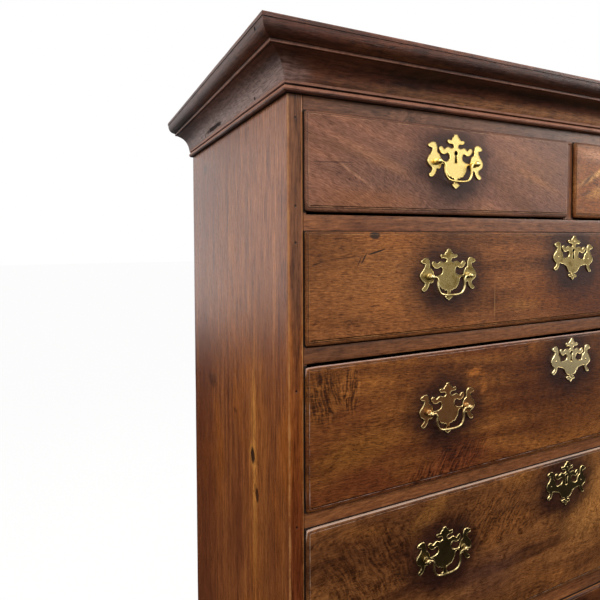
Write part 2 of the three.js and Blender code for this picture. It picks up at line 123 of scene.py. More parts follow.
def times(tree, first, second):
    return calc(tree, "MULTIPLY", first, second)


def timesPlus(tree, first, second, third):
    return calc(tree, "MULTIPLY_ADD", first, second, third)


def fromMiddle(tree, value):             # a noise value, swinging round zero
    return calc(tree, "SUBTRACT", value, 0.5)


def vectorCalc(tree, operation, first, second=(0, 0, 0)):
    return addNode(tree, "VectorMath", {0: first, 1: second}, operation=operation).outputs[0]


def scaled(tree, vector, factors):
    return vectorCalc(tree, "MULTIPLY", vector, factors)


def lengthOf(tree, vector):
    return addNode(tree, "VectorMath", {0: vector}, operation="LENGTH").outputs["Value"]


def turned(tree, vector, angle, axis="Y_AXIS"):
    inputs = {"Vector": vector, "Angle": angle}
    return addNode(tree, "VectorRotate", inputs, rotation_type=axis).outputs[0]


def joined(tree, x=0.0, y=0.0, z=0.0):
    return addNode(tree, "CombineXYZ", {0: x, 1: y, 2: z}).outputs[0]


def noiseOf(tree, vector, scale, detail=2.0, rough=0.5):
    inputs = {"Vector": vector, "Scale": scale, "Detail": detail, "Roughness": rough}
    return addNode(tree, "TexNoise", inputs).outputs[0]


def fade(tree, value, start, end):       # 0 at start, 1 at end, smooth between
    inputs = {"Value": value, "From Min": start, "From Max": end}
    return addNode(tree, "MapRange", inputs, interpolation_type="SMOOTHSTEP").outputs[0]


def mixColour(tree, share, first, second, blend="MIX"):
    inputs = {0: share, 6: first, 7: second}
    return addNode(tree, "Mix", inputs, data_type="RGBA", blend_type=blend).outputs[2]


def rampOf(tree, value, stops):
    node = addNode(tree, "ValToRGB", {0: value})
    elements = node.color_ramp.elements
    elements.new(0.5)
    for element, (position, code) in zip(elements, stops):
        element.position = position
        element.color = tone(code)
    return node.outputs[0]


def newGroup(name, takes, gives):
    group = bpy.data.node_groups.new(name, "ShaderNodeTree")
    for label, kind, value in takes:
        socket = group.interface.new_socket(label, in_out="INPUT", socket_type="NodeSocket" + kind)
        socket.default_value = value
    for label, kind in gives:
        group.interface.new_socket(label, in_out="OUTPUT", socket_type="NodeSocket" + kind)
    inside = group.nodes.new("NodeGroupInput").outputs
    outside = group.nodes.new("NodeGroupOutput").inputs
    return group, inside, outside


def newMaterial(name, **plain):
    material = bpy.data.materials.new(name)
    material.use_nodes = True
    tree = material.node_tree
    shader = tree.nodes["Principled BSDF"]
    for label, value in plain.items():
        shader.inputs[label.replace("_", " ")].default_value = value
    return material, tree, shader


def useEffect(tree, name, inputs):
    return addNode(tree, "Group", inputs, node_tree=effects[name]).outputs


def meshValue(tree, label, output="Fac"):
    return addNode(tree, "Attribute", attribute_name=label).outputs[output]


def finishSurface(tree, shader, colour, rough, bump):
    tree.links.new(addNode(tree, "Bump", bump).outputs[0], shader.inputs["Normal"])
    tree.links.new(colour, shader.inputs["Base Color"])
    tree.links.new(rough, shader.inputs["Roughness"])


# Wood effects that several finishes share
def makeBoardGrain():            # streaks, bands, fibres, pores and curl along a board's own grain
    group, takes, gives = newGroup("boardGrain", [
        ("Grain", "Vector", (0, 0, 0)), ("Shift", "Float", 0), ("Waves", "Float", 0.01),
        ("Bands per Metre", "Float", 60), ("Streaks per Metre", "Float", 330), ("Shortness", "Float", 0.16),
    ], [("Bands", "Float"), ("Streaks", "Float"), ("Fibres", "Float"), ("Pores", "Float"), ("Curl", "Float")])
    fibresPerMetre, poresPerMetre, curlSize, curlLean = 800, 1500, 0.008, 0.35
    slow = noiseOf(group, scaled(group, takes["Grain"], (2.6, 7, 7)), 1)
    quick = noiseOf(group, scaled(group, takes["Grain"], (13, 38, 38)), 1)
    drift = timesPlus(group, fromMiddle(group, quick), 0.3, fromMiddle(group, slow))
    drift = timesPlus(group, drift, takes["Waves"], takes["Shift"])
    flow = vectorCalc(group, "ADD", takes["Grain"], joined(group, 0, drift, times(group, drift, 0.4)))
    bands = noiseOf(group, scaled(group, flow, (0.035, 1, 0.6)), takes["Bands per Metre"], 3, 0.6)
    stretch = joined(group, takes["Shortness"], 1, 0.8)
    streaks = noiseOf(group, scaled(group, flow, stretch), takes["Streaks per Metre"], 3, 0.75)
    fibres = noiseOf(group, scaled(group, flow, (0.06, 1, 0.8)), fibresPerMetre, 3, 0.65)
    pores = noiseOf(group, scaled(group, flow, (0.05, 1, 0.8)), poresPerMetre, 1)
    curling = turned(group, flow, curlLean, "Z_AXIS")
    curling = vectorCalc(group, "ADD", curling, joined(group, times(group, fromMiddle(group, quick), 0.03)))
    curl = noiseOf(group, scaled(group, curling, (1, 0.3, 0.3)), calc(group, "DIVIDE", 1, curlSize), 2, 0.6)
    pores = fade(group, pores, 0.62, 0.72)
    for socket, value in zip(gives, (bands, streaks, fibres, pores, curl)):
        group.links.new(value, socket)
    return group


def makeSpot():                  # a soft, ragged patch round a place on the highboy
    group, takes, gives = newGroup("spot", [
        ("Place", "Vector", (0, 0, 0)), ("Centre", "Vector", (0, 0, 0)), ("Radii", "Vector", (1, 1, 1)),
        ("Softness", "Float", 0.6), ("Ragged", "Float", 0.3), ("Rag Size", "Float", 0.02),
        ("Turn", "Float", 0),
    ], [("Mask", "Float")])
    offset = turned(group, vectorCalc(group, "SUBTRACT", takes["Place"], takes["Centre"]), takes["Turn"])
    reach = lengthOf(group, vectorCalc(group, "DIVIDE", offset, takes["Radii"]))
    rags = noiseOf(group, takes["Place"], calc(group, "DIVIDE", 1, takes["Rag Size"]), 3, 0.6)
    reach = timesPlus(group, fromMiddle(group, rags), takes["Ragged"], reach)
    inner = calc(group, "SUBTRACT", 1, takes["Softness"])
    group.links.new(fade(group, reach, 1, inner), gives["Mask"])
    return group


def makeEdgeWearAndHighlight():              # where hands and cloths have thinned the polish, and where high edges paint a highlight on lit faces
    group, takes, gives = newGroup("edgeWear", [
        ("Edge", "Float", 0), ("Place", "Vector", (0, 0, 0)), ("Amount", "Float", 0.5),
    ], [("Mask", "Float"), ("Broken", "Float")])
    patchy = noiseOf(group, takes["Place"], 38, 3, 0.65)
    fine = noiseOf(group, takes["Place"], 420, 2, 0.6)
    drop = timesPlus(group, fine, 0.35, patchy)
    level = calc(group, "ADD", drop, times(group, takes["Edge"], takes["Amount"]))
    start, end = -0.1, 0.35
    level = calc(group, "SUBTRACT", level, 1.45)
    group.links.new(fade(group, level, start, end), gives["Mask"])
    group.links.new(drop, gives["Broken"])
    return group


def makeStrokes():               # short dark strokes, as in crotch and burl wood
    group, takes, gives = newGroup("strokes", [
        ("Place", "Vector", (0, 0, 0)), ("Turn", "Float", 0), ("Size", "Float", 0.003),
    ], [("Mask", "Float")])
    bend, narrow = 0.016, 0.09
    sway = addNode(group, "TexNoise", {"Vector": takes["Place"], "Scale": 30, "Detail": 1}).outputs["Color"]
    sway = scaled(group, vectorCalc(group, "SUBTRACT", sway, (0.5, 0.5, 0.5)), (bend, bend, bend))
    place = turned(group, vectorCalc(group, "ADD", takes["Place"], sway), takes["Turn"])
    perMetre = calc(group, "DIVIDE", 1, takes["Size"])
    lines = noiseOf(group, scaled(group, place, (1, 1, narrow)), perMetre, 3, 0.65)
    group.links.new(fade(group, lines, 0.38, 0.62), gives["Mask"])
    return group


def makeLipShade():               # painted shade round the edge of a drawer front, on the wood beside it
    group, takes, gives = newGroup("lipLine", [
        ("Place", "Vector", (0, 0, 0)), ("Centre", "Vector", (0, 0, 0)), ("Half Size", "Vector", (1, 1, 1)),
    ], [("Mask", "Float")])
    widest = 0.0014
    offset = vectorCalc(group, "ABSOLUTE", vectorCalc(group, "SUBTRACT", takes["Place"], takes["Centre"]))
    beyond = vectorCalc(group, "MAXIMUM", vectorCalc(group, "SUBTRACT", offset, takes["Half Size"]))
    rags = noiseOf(group, takes["Place"], 160, 3, 0.6)
    limit = times(group, widest, calc(group, "ADD", rags, 0.55))
    reach = calc(group, "DIVIDE", lengthOf(group, beyond), limit)
    group.links.new(fade(group, reach, 1, 0.45), gives["Mask"])
    return group


effects = {"grain": makeBoardGrain(), "spot": makeSpot(), "strokes": makeStrokes(), "wear": makeEdgeWearAndHighlight(),
           "lip": makeLipShade()}


# A patch is a place where a wood's colour, gloss or grain differs, with its half sizes in
# millimetres. Tint and share change the colour, turn tilts the patch, ragged and rags roughen its
# outline, and late puts it over the dark halo of old polish and painted shadow round the brasses.
# Swirl tangles the grain over some size, curl ripples across it, strokes lean by some degrees and
# darken the wood by their depth, dent sinks it and gloss dulls it.
def patch(at, radii, tint=None, share=0.5, soft=0.9, **more):
    return {"at": at, "radii": radii, "tint": tint, "share": share, "soft": soft} | more


def onFront(across, down):       # millimetres from the front's left edge and below the cornice
    return (-caseHalf + across * mm, faceY, corniceFoot - down * mm)


def onSide(behind, down):        # millimetres behind the front and below the cornice, left side
    return (-caseHalf, faceY + behind * mm, corniceFoot - down * mm)


def frontPatch(across, down, halfWide, halfTall, *look, **more):
    return patch(onFront(across, down), (halfWide, through, halfTall), *look, **more)


def sidePatch(behind, down, halfDeep, halfTall, *look, **more):
    return patch(onSide(behind, down), (through, halfDeep, halfTall), *look, **more)


# painted shade in the gap round a drawer front's lip
def gapShadeMask(tree, place, low, high):
    inputs = {"Place": place, "Centre": (low + high) / 2}
    inputs["Half Size"] = ((high.x - low.x) / 2, 1, (high.z - low.z) / 2)
    return useEffect(tree, "lip", inputs)["Mask"]


def spotMask(tree, place, mark):
    inputs = {"Place": place, "Centre": mark["at"], "Radii": tuple(r * mm for r in mark["radii"])}
    for key, label in (("soft", "Softness"), ("ragged", "Ragged"), ("rags", "Rag Size")):
        if key in mark:
            inputs[label] = mark[key]
    inputs["Turn"] = math.radians(mark.get("turn", 0))
    return useEffect(tree, "spot", inputs)["Mask"]


# A polished or bare wood. Its look gives the colours and how strong each part of the grain is.
woodLook = {
    "run": 0, "lean": 0.0, "waves": 0.02, "bands": 60, "fineness": 330, "shortness": 0.16, "clouds": 9,
    "curl": 0.15, "streaks": 2.4, "fibres": 1.2, "pores": 0.35, "relief": 0.5, "rough": 0.36, "shine": 0.3,
    "wear": 0.9, "gaps": (),
}


def boardLines(tree, place, grain, look, marks):     # the board's lines, and how strong its curl is
    shift = times(tree, addNode(tree, "SeparateXYZ", {0: place}).outputs[look["run"]], look["lean"])
    curliness = look["curl"]
    for mark, mask in marks:
        if "swirl" in mark:
            tangle = noiseOf(tree, place, 1 / mark["size"], 2, 0.55)
            shift = timesPlus(tree, times(tree, fromMiddle(tree, tangle), mark["swirl"]), mask, shift)
        if "curl" in mark:
            curliness = timesPlus(tree, mask, mark["curl"], curliness)
    inputs = {"Grain": grain, "Shift": shift, "Waves": look["waves"], "Bands per Metre": look["bands"],
              "Streaks per Metre": look["fineness"], "Shortness": look["shortness"]}
    return useEffect(tree, "grain", inputs), curliness


def boardLevel(tree, place, lines, curliness, look, marks):      # how light the wood is, point by point
    level = timesPlus(tree, fromMiddle(tree, lines["Streaks"]), look["streaks"], 1)
    level = timesPlus(tree, fromMiddle(tree, lines["Fibres"]), look["fibres"], level)
    level = timesPlus(tree, times(tree, fromMiddle(tree, lines["Curl"]), -2.6), curliness, level)
    level = timesPlus(tree, lines["Pores"], -look["pores"], level)
    for mark, mask in marks:
        if "strokes" in mark:
            inputs = {"Place": place, "Turn": -math.radians(mark["strokes"]), "Size": mark.get("fine", 0.003)}
            strokes = calc(tree, "SUBTRACT", useEffect(tree, "strokes", inputs)["Mask"], 0.35)
            level = timesPlus(tree, times(tree, strokes, mask), -mark["depth"], level)
    level = calc(tree, "MAXIMUM", level, 0.2)
    powers = {i: calc(tree, "POWER", level, power) for i, power in enumerate((1, 1.15, 1.3))}
    return addNode(tree, "CombineColor", powers).outputs[0]


def wood(name, look, marks=()):
    look = woodLook | {"glow": look["middle"]} | look
    material, tree, shader = newMaterial(name, Specular_IOR_Level=look["shine"], Coat_Roughness=0.2)
    place = addNode(tree, "TexCoord").outputs["Object"]
    grain = meshValue(tree, "grain", "Vector")
    edge, dirt = meshValue(tree, "edge"), meshValue(tree, "dirt")
    marks = [(mark, spotMask(tree, place, mark)) for mark in marks]
    lines, curliness = boardLines(tree, place, grain, look, marks)

    colour = rampOf(tree, lines["Bands"], zip((0.3, 0.5, 0.7), (look["dark"], look["middle"], look["light"])))
    clouds = noiseOf(tree, scaled(tree, grain, (0.5, 1, 1)), look["clouds"], 3)
    colour = mixColour(tree, fade(tree, clouds, 0.5, 0.68), colour, tone(look["cloud"]))
    colour = mixColour(tree, fade(tree, clouds, 0.48, 0.34), colour, tone(look["glow"]))
    for mark, mask in marks:
        if mark["tint"] and "dent" not in mark:
            colour = mixColour(tree, times(tree, mask, mark["share"]), colour, tone(mark["tint"]))
    level = boardLevel(tree, place, lines, curliness, look, marks)
    colour = mixColour(tree, 1.0, colour, level, "MULTIPLY")

    rough = timesPlus(tree, lines["Fibres"], 0.14, look["rough"] - 0.07)
    rough = timesPlus(tree, clouds, 0.1, calc(tree, "SUBTRACT", rough, 0.05))
    height = timesPlus(tree, lines["Streaks"], 0.7, lines["Fibres"])
    height = timesPlus(tree, lines["Pores"], -0.4, height)
    for mark, mask in marks:
        if "dent" in mark:
            colour = mixColour(tree, times(tree, mask, mark["share"]), colour, tone(mark["tint"]))
            height = timesPlus(tree, mask, -mark["dent"], height)
        if "gloss" in mark:
            rough = timesPlus(tree, mask, mark["gloss"], rough)

    # worn colour: rubbed polish on the arrises, and a painted highlight where a profile gives its lit faces
    # high edges
    wear = useEffect(tree, "wear", {"Edge": edge, "Place": place, "Amount": look["wear"]})
    colour = mixColour(tree, times(tree, wear["Mask"], 0.75), colour, tone(look["worn"]))
    rough = timesPlus(tree, wear["Mask"], 0.08, rough)
    # painted shade: hollows with edges below zero, and a thin band round each drawer front, darkened nearly
    # to black
    for low, high in look["gaps"]:
        dirt = calc(tree, "MAXIMUM", dirt, gapShadeMask(tree, place, low, high))
    dirt = times(tree, dirt, fade(tree, wear["Broken"], 0.1, 0.6))
    colour = mixColour(tree, times(tree, dirt, 0.93), colour, tone("0e0705"))
    rough = timesPlus(tree, dirt, 0.4, rough)
    bump = {"Strength": look["relief"], "Distance": 0.0004, "Height": height}
    finishSurface(tree, shader, colour, rough, bump)
    return material


# Mesh helpers. A shell gathers points, faces, each point's place in its board's grain, and edges.
def newShell():
    return {"points": [], "faces": [], "grain": [], "edge": [], "dirt": []}


def grainAt(point, order, seed):         # lengthwise, across and through the board
    return tuple(point["xyz".index(letter)] + seed * (2.3 + i) for i, letter in enumerate(order))


def addPoints(shell, points, edges, order, seed):        # an edge below zero is a hollow painted in shade
    shell["points"] += [tuple(p) for p in points]
    shell["grain"] += [grainAt(p, order, seed) for p in points]
    shell["edge"] += [max(0, edge) for edge in edges]
    shell["dirt"] += [max(0, -edge) for edge in edges]


def addRings(shell, rings, edges, order="xzy", seed=0, caps=(True, True)):
    count = len(rings[0])
    first = len(shell["points"])
    for ring, edge in zip(rings, edges):
        addPoints(shell, ring, edge if isinstance(edge, list) else [edge] * count, order, seed)
    for r in range(len(rings) - 1):
        for i in range(count):
            a, b = first + r * count + i, first + r * count + (i + 1) % count
            shell["faces"].append((a, b, b + count, a + count))
    last = first + (len(rings) - 1) * count
    if caps[0]:
        shell["faces"].append(tuple(range(first + count - 1, first - 1, -1)))
    if caps[1]:
        shell["faces"].append(tuple(range(last, last + count)))
    return first, last


def makePiece(shell, name, material, body, replaces=(), sharp=38):
    mesh = bpy.data.meshes.new(name)
    mesh.from_pydata(shell["points"], [], shell["faces"])
    work = bmesh.new()
    work.from_mesh(mesh)
    bmesh.ops.recalc_face_normals(work, faces=work.faces)
    work.to_mesh(mesh)
    work.free()
    grain = mesh.attributes.new("grain", "FLOAT_VECTOR", "POINT")
    grain.data.foreach_set("vector", [c for g in shell["grain"] for c in g])
    for label in ("edge", "dirt"):
        mesh.attributes.new(label, "FLOAT", "POINT").data.foreach_set("value", shell[label])
    mesh.shade_smooth()
    mesh.set_sharp_from_angle(angle=math.radians(sharp))
    mesh.materials.append(material)
    piece = bpy.data.objects.new(name, mesh)
    bpy.context.scene.collection.objects.link(piece)
    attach(piece, body)
    if replaces:
        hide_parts(*replaces)
    return piece


def boardSection(halfU, halfV, soft, margin=0.006):      # half sizes, and the arris radius
    run = min(margin, halfU / 2, halfV / 2)
    section = []
    for corner in range(4):
        near = Vector((math.cos(corner * math.pi / 2), math.sin(corner * math.pi / 2)))
        far = Vector((-near.y, near.x))
        nearHalf, farHalf = (halfU, halfV) if corner % 2 == 0 else (halfV, halfU)
        section.append((near * nearHalf + far * (farHalf - run), 0.0))
        for angle in (0, math.pi / 4, math.pi / 2):
            arc = near * (nearHalf - soft + soft * math.cos(angle))
            section.append((arc + far * (farHalf - soft + soft * math.sin(angle)), 1.0))
        section.append((near * (nearHalf - run) + far * farHalf, 0.0))
    return section


def addBoard(shell, low, high, order, seed, soft=0.0008, wobble=0.00025, step=0.05):
    lengthwise, across, through = ("xyz".index(letter) for letter in order)
    low, high = Vector(low), Vector(high)
    centre, half = (low + high) / 2, (high - low) / 2
    section = boardSection(half[across], half[through], soft)
    length = 2 * half[lengthwise]
    inner = max(2, int(length / step))
    stations = [(0, soft), (soft, 0)] + [(length * i / inner, 0) for i in range(1, inner)]
    stations += [(length - soft, 0), (length, soft)]
    rings = []
    for station, inset in stations:
        ring = []
        for (u, v), _ in section:
            point = Vector((0, 0, 0))
            point[lengthwise] = low[lengthwise] + station
            shake = wobble * (0.5 + 0.5 * noise.noise(Vector((station * 23 + seed, u * 31, v * 31))))
            for axis, value, reach in ((across, u, half[across]), (through, v, half[through])):
                value -= math.copysign(inset + shake, value) if abs(value) > reach / 2 else 0
                point[axis] = centre[axis] + value
            ring.append(point)
        rings.append(ring)
    ends = {0, len(stations) - 1}
    edges = [[1.0 if r in ends and e else e for _, e in section] for r in range(len(stations))]
    addRings(shell, rings, edges, order, seed)


def between(before, start, end, after, t):       # a point of the smooth curve from start to end
    bend = 2 * start + (end - before) * t + (2 * before - 5 * start + 4 * end - after) * t ** 2
    return (bend + (3 * start - before - 3 * end + after) * t ** 3) / 2


def smoothPath(points, parts):           # a curve through the points
    last = len(points) - 1
    result = []
    for i in range(last):
        around = [Vector(points[min(max(j, 0), last)]) for j in range(i - 1, i + 3)]
        result += [between(*around, part / parts) for part in range(parts)]
    return result + [Vector(points[-1])]


def fullTurn(sides):
    return [2 * math.pi * i / sides for i in range(sides)]


def mirrored(sign, low, high):           # a board's corners on the right side, or on the left one
    reach = sorted((sign * low[0], sign * high[0]))
    return (reach[0], *low[1:]), (reach[1], *high[1:])


def insetLoop(loop, inset):      # a flat outline drawn in by a distance
    turn = sum(a.x * b.y - b.x * a.y for a, b in zip(loop, loop[1:] + loop[:1]))
    result = []
    for before, point, after in zip(loop[-1:] + loop[:-1], loop, loop[1:] + loop[:1]):
        inward = [Vector((a.y - b.y, b.x - a.x)).normalized() for a, b in ((before, point), (point, after))]
        middle = (inward[0] + inward[1]).normalized()
        stretch = min(1.4, 1 / max(0.3, middle.dot(inward[0])))
        result.append(point + middle * inset * stretch * math.copysign(1, turn))
    return result


# A sheet cut to an outline with holes. Its layers go from the back to the front: inset, y, edge.
def addSheet(shell, outline, holes, layers, order="xzy", seed=0):
    loops = [[Vector(p) for p in outline]] + [[Vector(p) for p in hole] for hole in holes]
    ends = []
    for loop in loops:
        inward = 1 if loop is loops[0] else -1
        rings = [[(p.x, y, p.y) for p in insetLoop(loop, inward * inset)] for inset, y, _ in layers]
        ends.append(addRings(shell, rings, [edge for *_, edge in layers], order, seed, (False, False)))
    for side in (0, 1):
        flat = [[Vector((*shell["points"][end[side] + i][::2], 0)) for i in range(len(loop))]
                for loop, end in zip(loops, ends)]
        index = [end[side] + i for loop, end in zip(loops, ends) for i in range(len(loop))]
        shell["faces"] += [tuple(index[i] for i in face) for face in tessellate_polygon(flat)]


# The room: a pale floor, and a white surround that is dim below the height of a table
def buildRoom():
    room = {"above": 0.69, "below": 0.155, "lowest": -20, "highest": 12, "whiteFrom": -6, "dimFrom": -14,
            "dim": "2e2722", "reach": 40, "floorLift": 0.93}
    world = bpy.data.worlds.new("whiteRoom")
    bpy.context.scene.world = world
    world.use_nodes = True
    tree = world.node_tree
    tree.nodes.clear()
    height = addNode(tree, "SeparateXYZ", {0: addNode(tree, "TexCoord").outputs["Generated"]}).outputs[2]
    level = fade(tree, height, *(math.sin(math.radians(room[key])) for key in ("dimFrom", "whiteFrom")))
    seen = mixColour(tree, level, tone(room["dim"]), (1, 1, 1, 1))
    rays = addNode(tree, "LightPath").outputs
    direct = calc(tree, "MAXIMUM", rays["Is Camera Ray"], rays["Is Glossy Ray"])
    direct = calc(tree, "MAXIMUM", direct, rays["Is Transmission Ray"])
    upward = fade(tree, height, *(math.sin(math.radians(room[key])) for key in ("lowest", "highest")))
    strength = calc(tree, "MULTIPLY_ADD", upward, room["above"] - room["below"], room["below"])
    soft = addNode(tree, "Background", {"Color": (1, 0.985, 0.965, 1), "Strength": strength}).outputs[0]
    shown = addNode(tree, "Background", {"Color": seen, "Strength": 1}).outputs[0]
    both = addNode(tree, "MixShader", {0: direct, 1: soft, 2: shown}).outputs[0]
    addNode(tree, "OutputWorld", {"Surface": both})

    paleFloor, tree, shader = newMaterial("paleFloor", Base_Color=(0.88, 0.88, 0.87, 1), Roughness=0.9)
    lift = calc(tree, "MULTIPLY", addNode(tree, "LightPath").outputs["Is Camera Ray"], room["floorLift"])
    white = addNode(tree, "Emission", {"Color": (1, 1, 1, 1), "Strength": 1}).outputs[0]
    both = addNode(tree, "MixShader", {0: lift, 1: shader.outputs[0], 2: white}).outputs[0]
    tree.links.new(both, tree.nodes["Material Output"].inputs["Surface"])
    mesh = bpy.data.meshes.new("floor")
    reach = room["reach"]
    corners = ((-reach, -reach), (reach, -reach), (reach, reach), (-reach, reach))
    mesh.from_pydata([(x, y, cadLow.z) for x, y in corners], [], [(0, 1, 2, 3)])
    mesh.materials.append(paleFloor)
    floor = bpy.data.objects.new("floor", mesh)
    floor.visible_glossy = False
    floor.visible_diffuse = False
    bpy.context.scene.collection.objects.link(floor)

    lamps = [
        {"name": "ceilingPanel", "at": (-0.6, -1.9, 3.5), "aim": (0, -0.2, 1.2), "size": 1.8, "power": 58},
        {"name": "rightPanel", "at": (2.8, -1.6, 2.9), "aim": (0.1, -0.2, 1.2), "size": 1.4, "power": 36},
        {"name": "leftPanel", "at": (-2.8, 0.4, 3.0), "aim": (-0.5, 0, 1.3), "size": 1.4, "power": 34},
        {"name": "backPanel", "at": (0.6, 2.8, 3.0), "aim": (0, 0.2, 1.2), "size": 1.6, "power": 40},
    ]
    for lamp in lamps:
        light = bpy.data.lights.new(lamp["name"], "AREA")
        light.size = lamp["size"]
        light.energy = lamp["power"]
        light.color = (1, 0.965, 0.92)
        panel = bpy.data.objects.new(lamp["name"], light)
        panel.location = lamp["at"]
        panel.rotation_euler = (Vector(lamp["aim"]) - Vector(lamp["at"])).to_track_quat("-Z", "Y").to_euler()
        bpy.context.scene.collection.objects.link(panel)


buildRoom()
print("room built")


# Upper case: sides, back, top and bottom boards
def frontNames(start):
    return [name[:-6] for name in sorted(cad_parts) if name.startswith(start) and name.endswith("_front")
            and name != "lower_front"]


def lipBoxes(start):
    return [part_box(name + "_front") for name in frontNames(start)]


def sillOf(name):                # where a drawer box runs on its runners or its rail
    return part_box(name + "_box")[0].z - 0.3 * mm


rowNames = [*frontNames("upper_long"), "upper_short_left"]


def caseSideWalnut():
    look = {"dark": "5f2f16", "middle": "814823", "light": "995c2d", "cloud": "6e3a1c", "glow": "90501f",
            "worn": "a87444", "run": 2, "waves": 0.016, "bands": 75, "clouds": 7, "curl": 0.12, "rough": 0.28,
            "wear": 0.97, "streaks": 2.8, "shortness": 0.05, "gaps": lipBoxes("upper")}
    marks = [
        sidePatch(60, 110, 190, 220, "a0684a", 0.55),
        sidePatch(420, 110, 190, 240, "744634", 0.55),
        sidePatch(110, 470, 70, 380, "9c5c28", 0.5),
        sidePatch(122, 520, 16, 190, "bd7a36", 0.5),
        sidePatch(430, 640, 170, 420, "5c2812", 0.65, 0.8),
        sidePatch(50, 660, 110, 320, "64361a", 0.5),
        sidePatch(480, 480, 9, 900, "5a1c10", 0.5, 0.7),
        sidePatch(250, 560, 9, 330, "54240f", 0.5, 0.8),
        sidePatch(124, 490, 7, 250, "c98a44", 0.5),
        sidePatch(128, 430, 17, 90, "c07e3c", 0.4),
        sidePatch(347, 427, 42, 19, "46200f", 0.65, 0.7, ragged=0.9, swirl=0.02, size=0.03),
        sidePatch(212, 440, 14, 5, "46200f", 0.6, 0.7, ragged=0.9),
        sidePatch(130, 480, 20, 25, "b87a3a", 0.6, 0.6, ragged=0.4),
        sidePatch(130, 481, 11.5, 15.5, "24100a", 0.95, 0.5, ragged=0.6, rags=0.012, dent=0.4,
                  swirl=0.02, size=0.02),
        sidePatch(113, 531, 8, 14, "2c130b", 0.9, 0.5, ragged=0.6, rags=0.012, dent=0.3),
        sidePatch(122, 505, 28, 80, swirl=0.035, size=0.035, curl=0.5),
        sidePatch(384, 40, 12, 13, "3a2823", 0.7, 0.6, ragged=0.9),
        sidePatch(150, 148, 12, 70, "5f4238", 0.45, ragged=0.5),
        sidePatch(144, 102, 0.9, 34, "1c0d08", 0.7, 0.4, dent=1),
        sidePatch(190, 150, 0.9, 30, "2a150c", 0.5, 0.4, dent=1),
        patch(onFront(10, 60), (12, 4, 460), "5a3720", 0.8, 0.6),
        patch(onFront(10, 620), (12, 4, 420), "58260f", 0.75, 0.6),
    ]
    for peg in (27, 131, 174.5, 353, 519, 700, 905):
        marks.append(patch(onFront(10, peg), (1.6, 5, 1.7), "120806", 0.95, 0.3, ragged=0.1, dent=2))
    return wood("caseSideWalnut", look, marks)


def buildSides():
    thick = 20 * mm
    runner = {"width": 24 * mm, "height": 20 * mm, "start": 60 * mm}
    inner = caseHalf - thick
    polished = caseSideWalnut()
    for side, sign in hand.items():
        node = f"upper_side_{side}"
        low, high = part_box(node)
        shell = newShell()
        corners = mirrored(sign, (caseHalf, faceY, low.z), (inner, backY, high.z))
        addBoard(shell, *corners, "zyx", 3 + sign, soft=0.0012, wobble=0.0004)
        makePiece(shell, f"{side}Side", polished, "case", [node])
        shell = newShell()
        for name in rowNames:
            sill = sillOf(name)
            corners = mirrored(sign, (inner, faceY + runner["start"], sill - runner["height"]),
                               (inner - runner["width"], innerBack, sill))
            addBoard(shell, *corners, "yzx", sill * 9)
        makePiece(shell, f"{side}Runners", finishes["bare"], "case")


def buildBackBoards():
    back = {"thick": 14 * mm, "boards": 5, "gap": 1.2 * mm, "clear": 20.3 * mm, "nail": 2.2 * mm,
            "nailIn": 9 * mm}
    flat = {"boards": 3, "thick": 18 * mm, "start": 60.3 * mm}
    half = caseHalf - back["clear"]
    shell, nails = newShell(), newShell()
    width = 2 * half / back["boards"]
    for i in range(back["boards"]):
        left = -half + i * width
        addBoard(shell, (left, backY - back["thick"], caseFoot), (left + width - back["gap"], backY, caseTop),
                 "zxy", 20 + i, soft=0.0015, wobble=0.0006)
        for height in (caseFoot + back["nailIn"], (caseFoot + caseTop) / 2, caseTop - back["nailIn"]):
            for share in (0.2, 0.8):
                addNail(nails, (left + width * share, backY - 0.2 * mm, height), (0, 1, 0), back["nail"])
    depth = (innerBack - faceY - flat["start"]) / flat["boards"]
    for foot in (caseFoot, caseTop - flat["thick"]):
        for i in range(flat["boards"]):
            front = faceY + flat["start"] + i * depth
            addBoard(shell, (-half, front, foot), (half, front + depth - back["gap"], foot + flat["thick"]),
                     "xyz", 30 + i + foot, soft=0.001, wobble=0.0005)
    makePiece(shell, "backTopBottomBoards", finishes["bare"], "case",
              ["upper_back_top_bottom"])
    makePiece(nails, "backNails", finishes["iron"], "case")


def addNail(shell, at, facing, radius, sides=9):       # a low domed head
    at, facing = Vector(at), Vector(facing)
    flat = facing.orthogonal().normalized()
    other = facing.cross(flat)
    rings = []
    for share, rise in ((1, -0.5), (1, 0.1), (0.75, 0.3), (0.3, 0.42)):
        rings.append([at + (flat * math.cos(a) + other * math.sin(a)) * radius * share
                      + facing * radius * rise for a in fullTurn(sides)])
    addRings(shell, rings, [0.5, 1, 1, 0.4])


def bareWood():
    look = {"dark": "75502e", "middle": "8f683f", "light": "a47c4e", "cloud": "866039", "worn": "b08a58",
            "bands": 65, "rough": 0.72, "shine": 0.2, "curl": 0.05, "streaks": 1.4, "fibres": 1,
            "pores": 0.15, "clouds": 5}
    return wood("bareSoftwood", look)


def oldIron():
    material, tree, shader = newMaterial("oldIron", Specular_IOR_Level=0.4)
    rust = noiseOf(tree, addNode(tree, "TexCoord").outputs["Object"], 700, 3, 0.7)
    colour = mixColour(tree, fade(tree, rust, 0.4, 0.7), tone("1d1714"), tone("4a2c1c"))
    bump = {"Strength": 0.4, "Distance": 0.0003, "Height": rust}
    finishSurface(tree, shader, colour, timesPlus(tree, rust, 0.3, 0.5), bump)
    return material


finishes = {"bare": bareWood(), "iron": oldIron()}
buildSides()
buildBackBoards()
print("sides and back boards built")


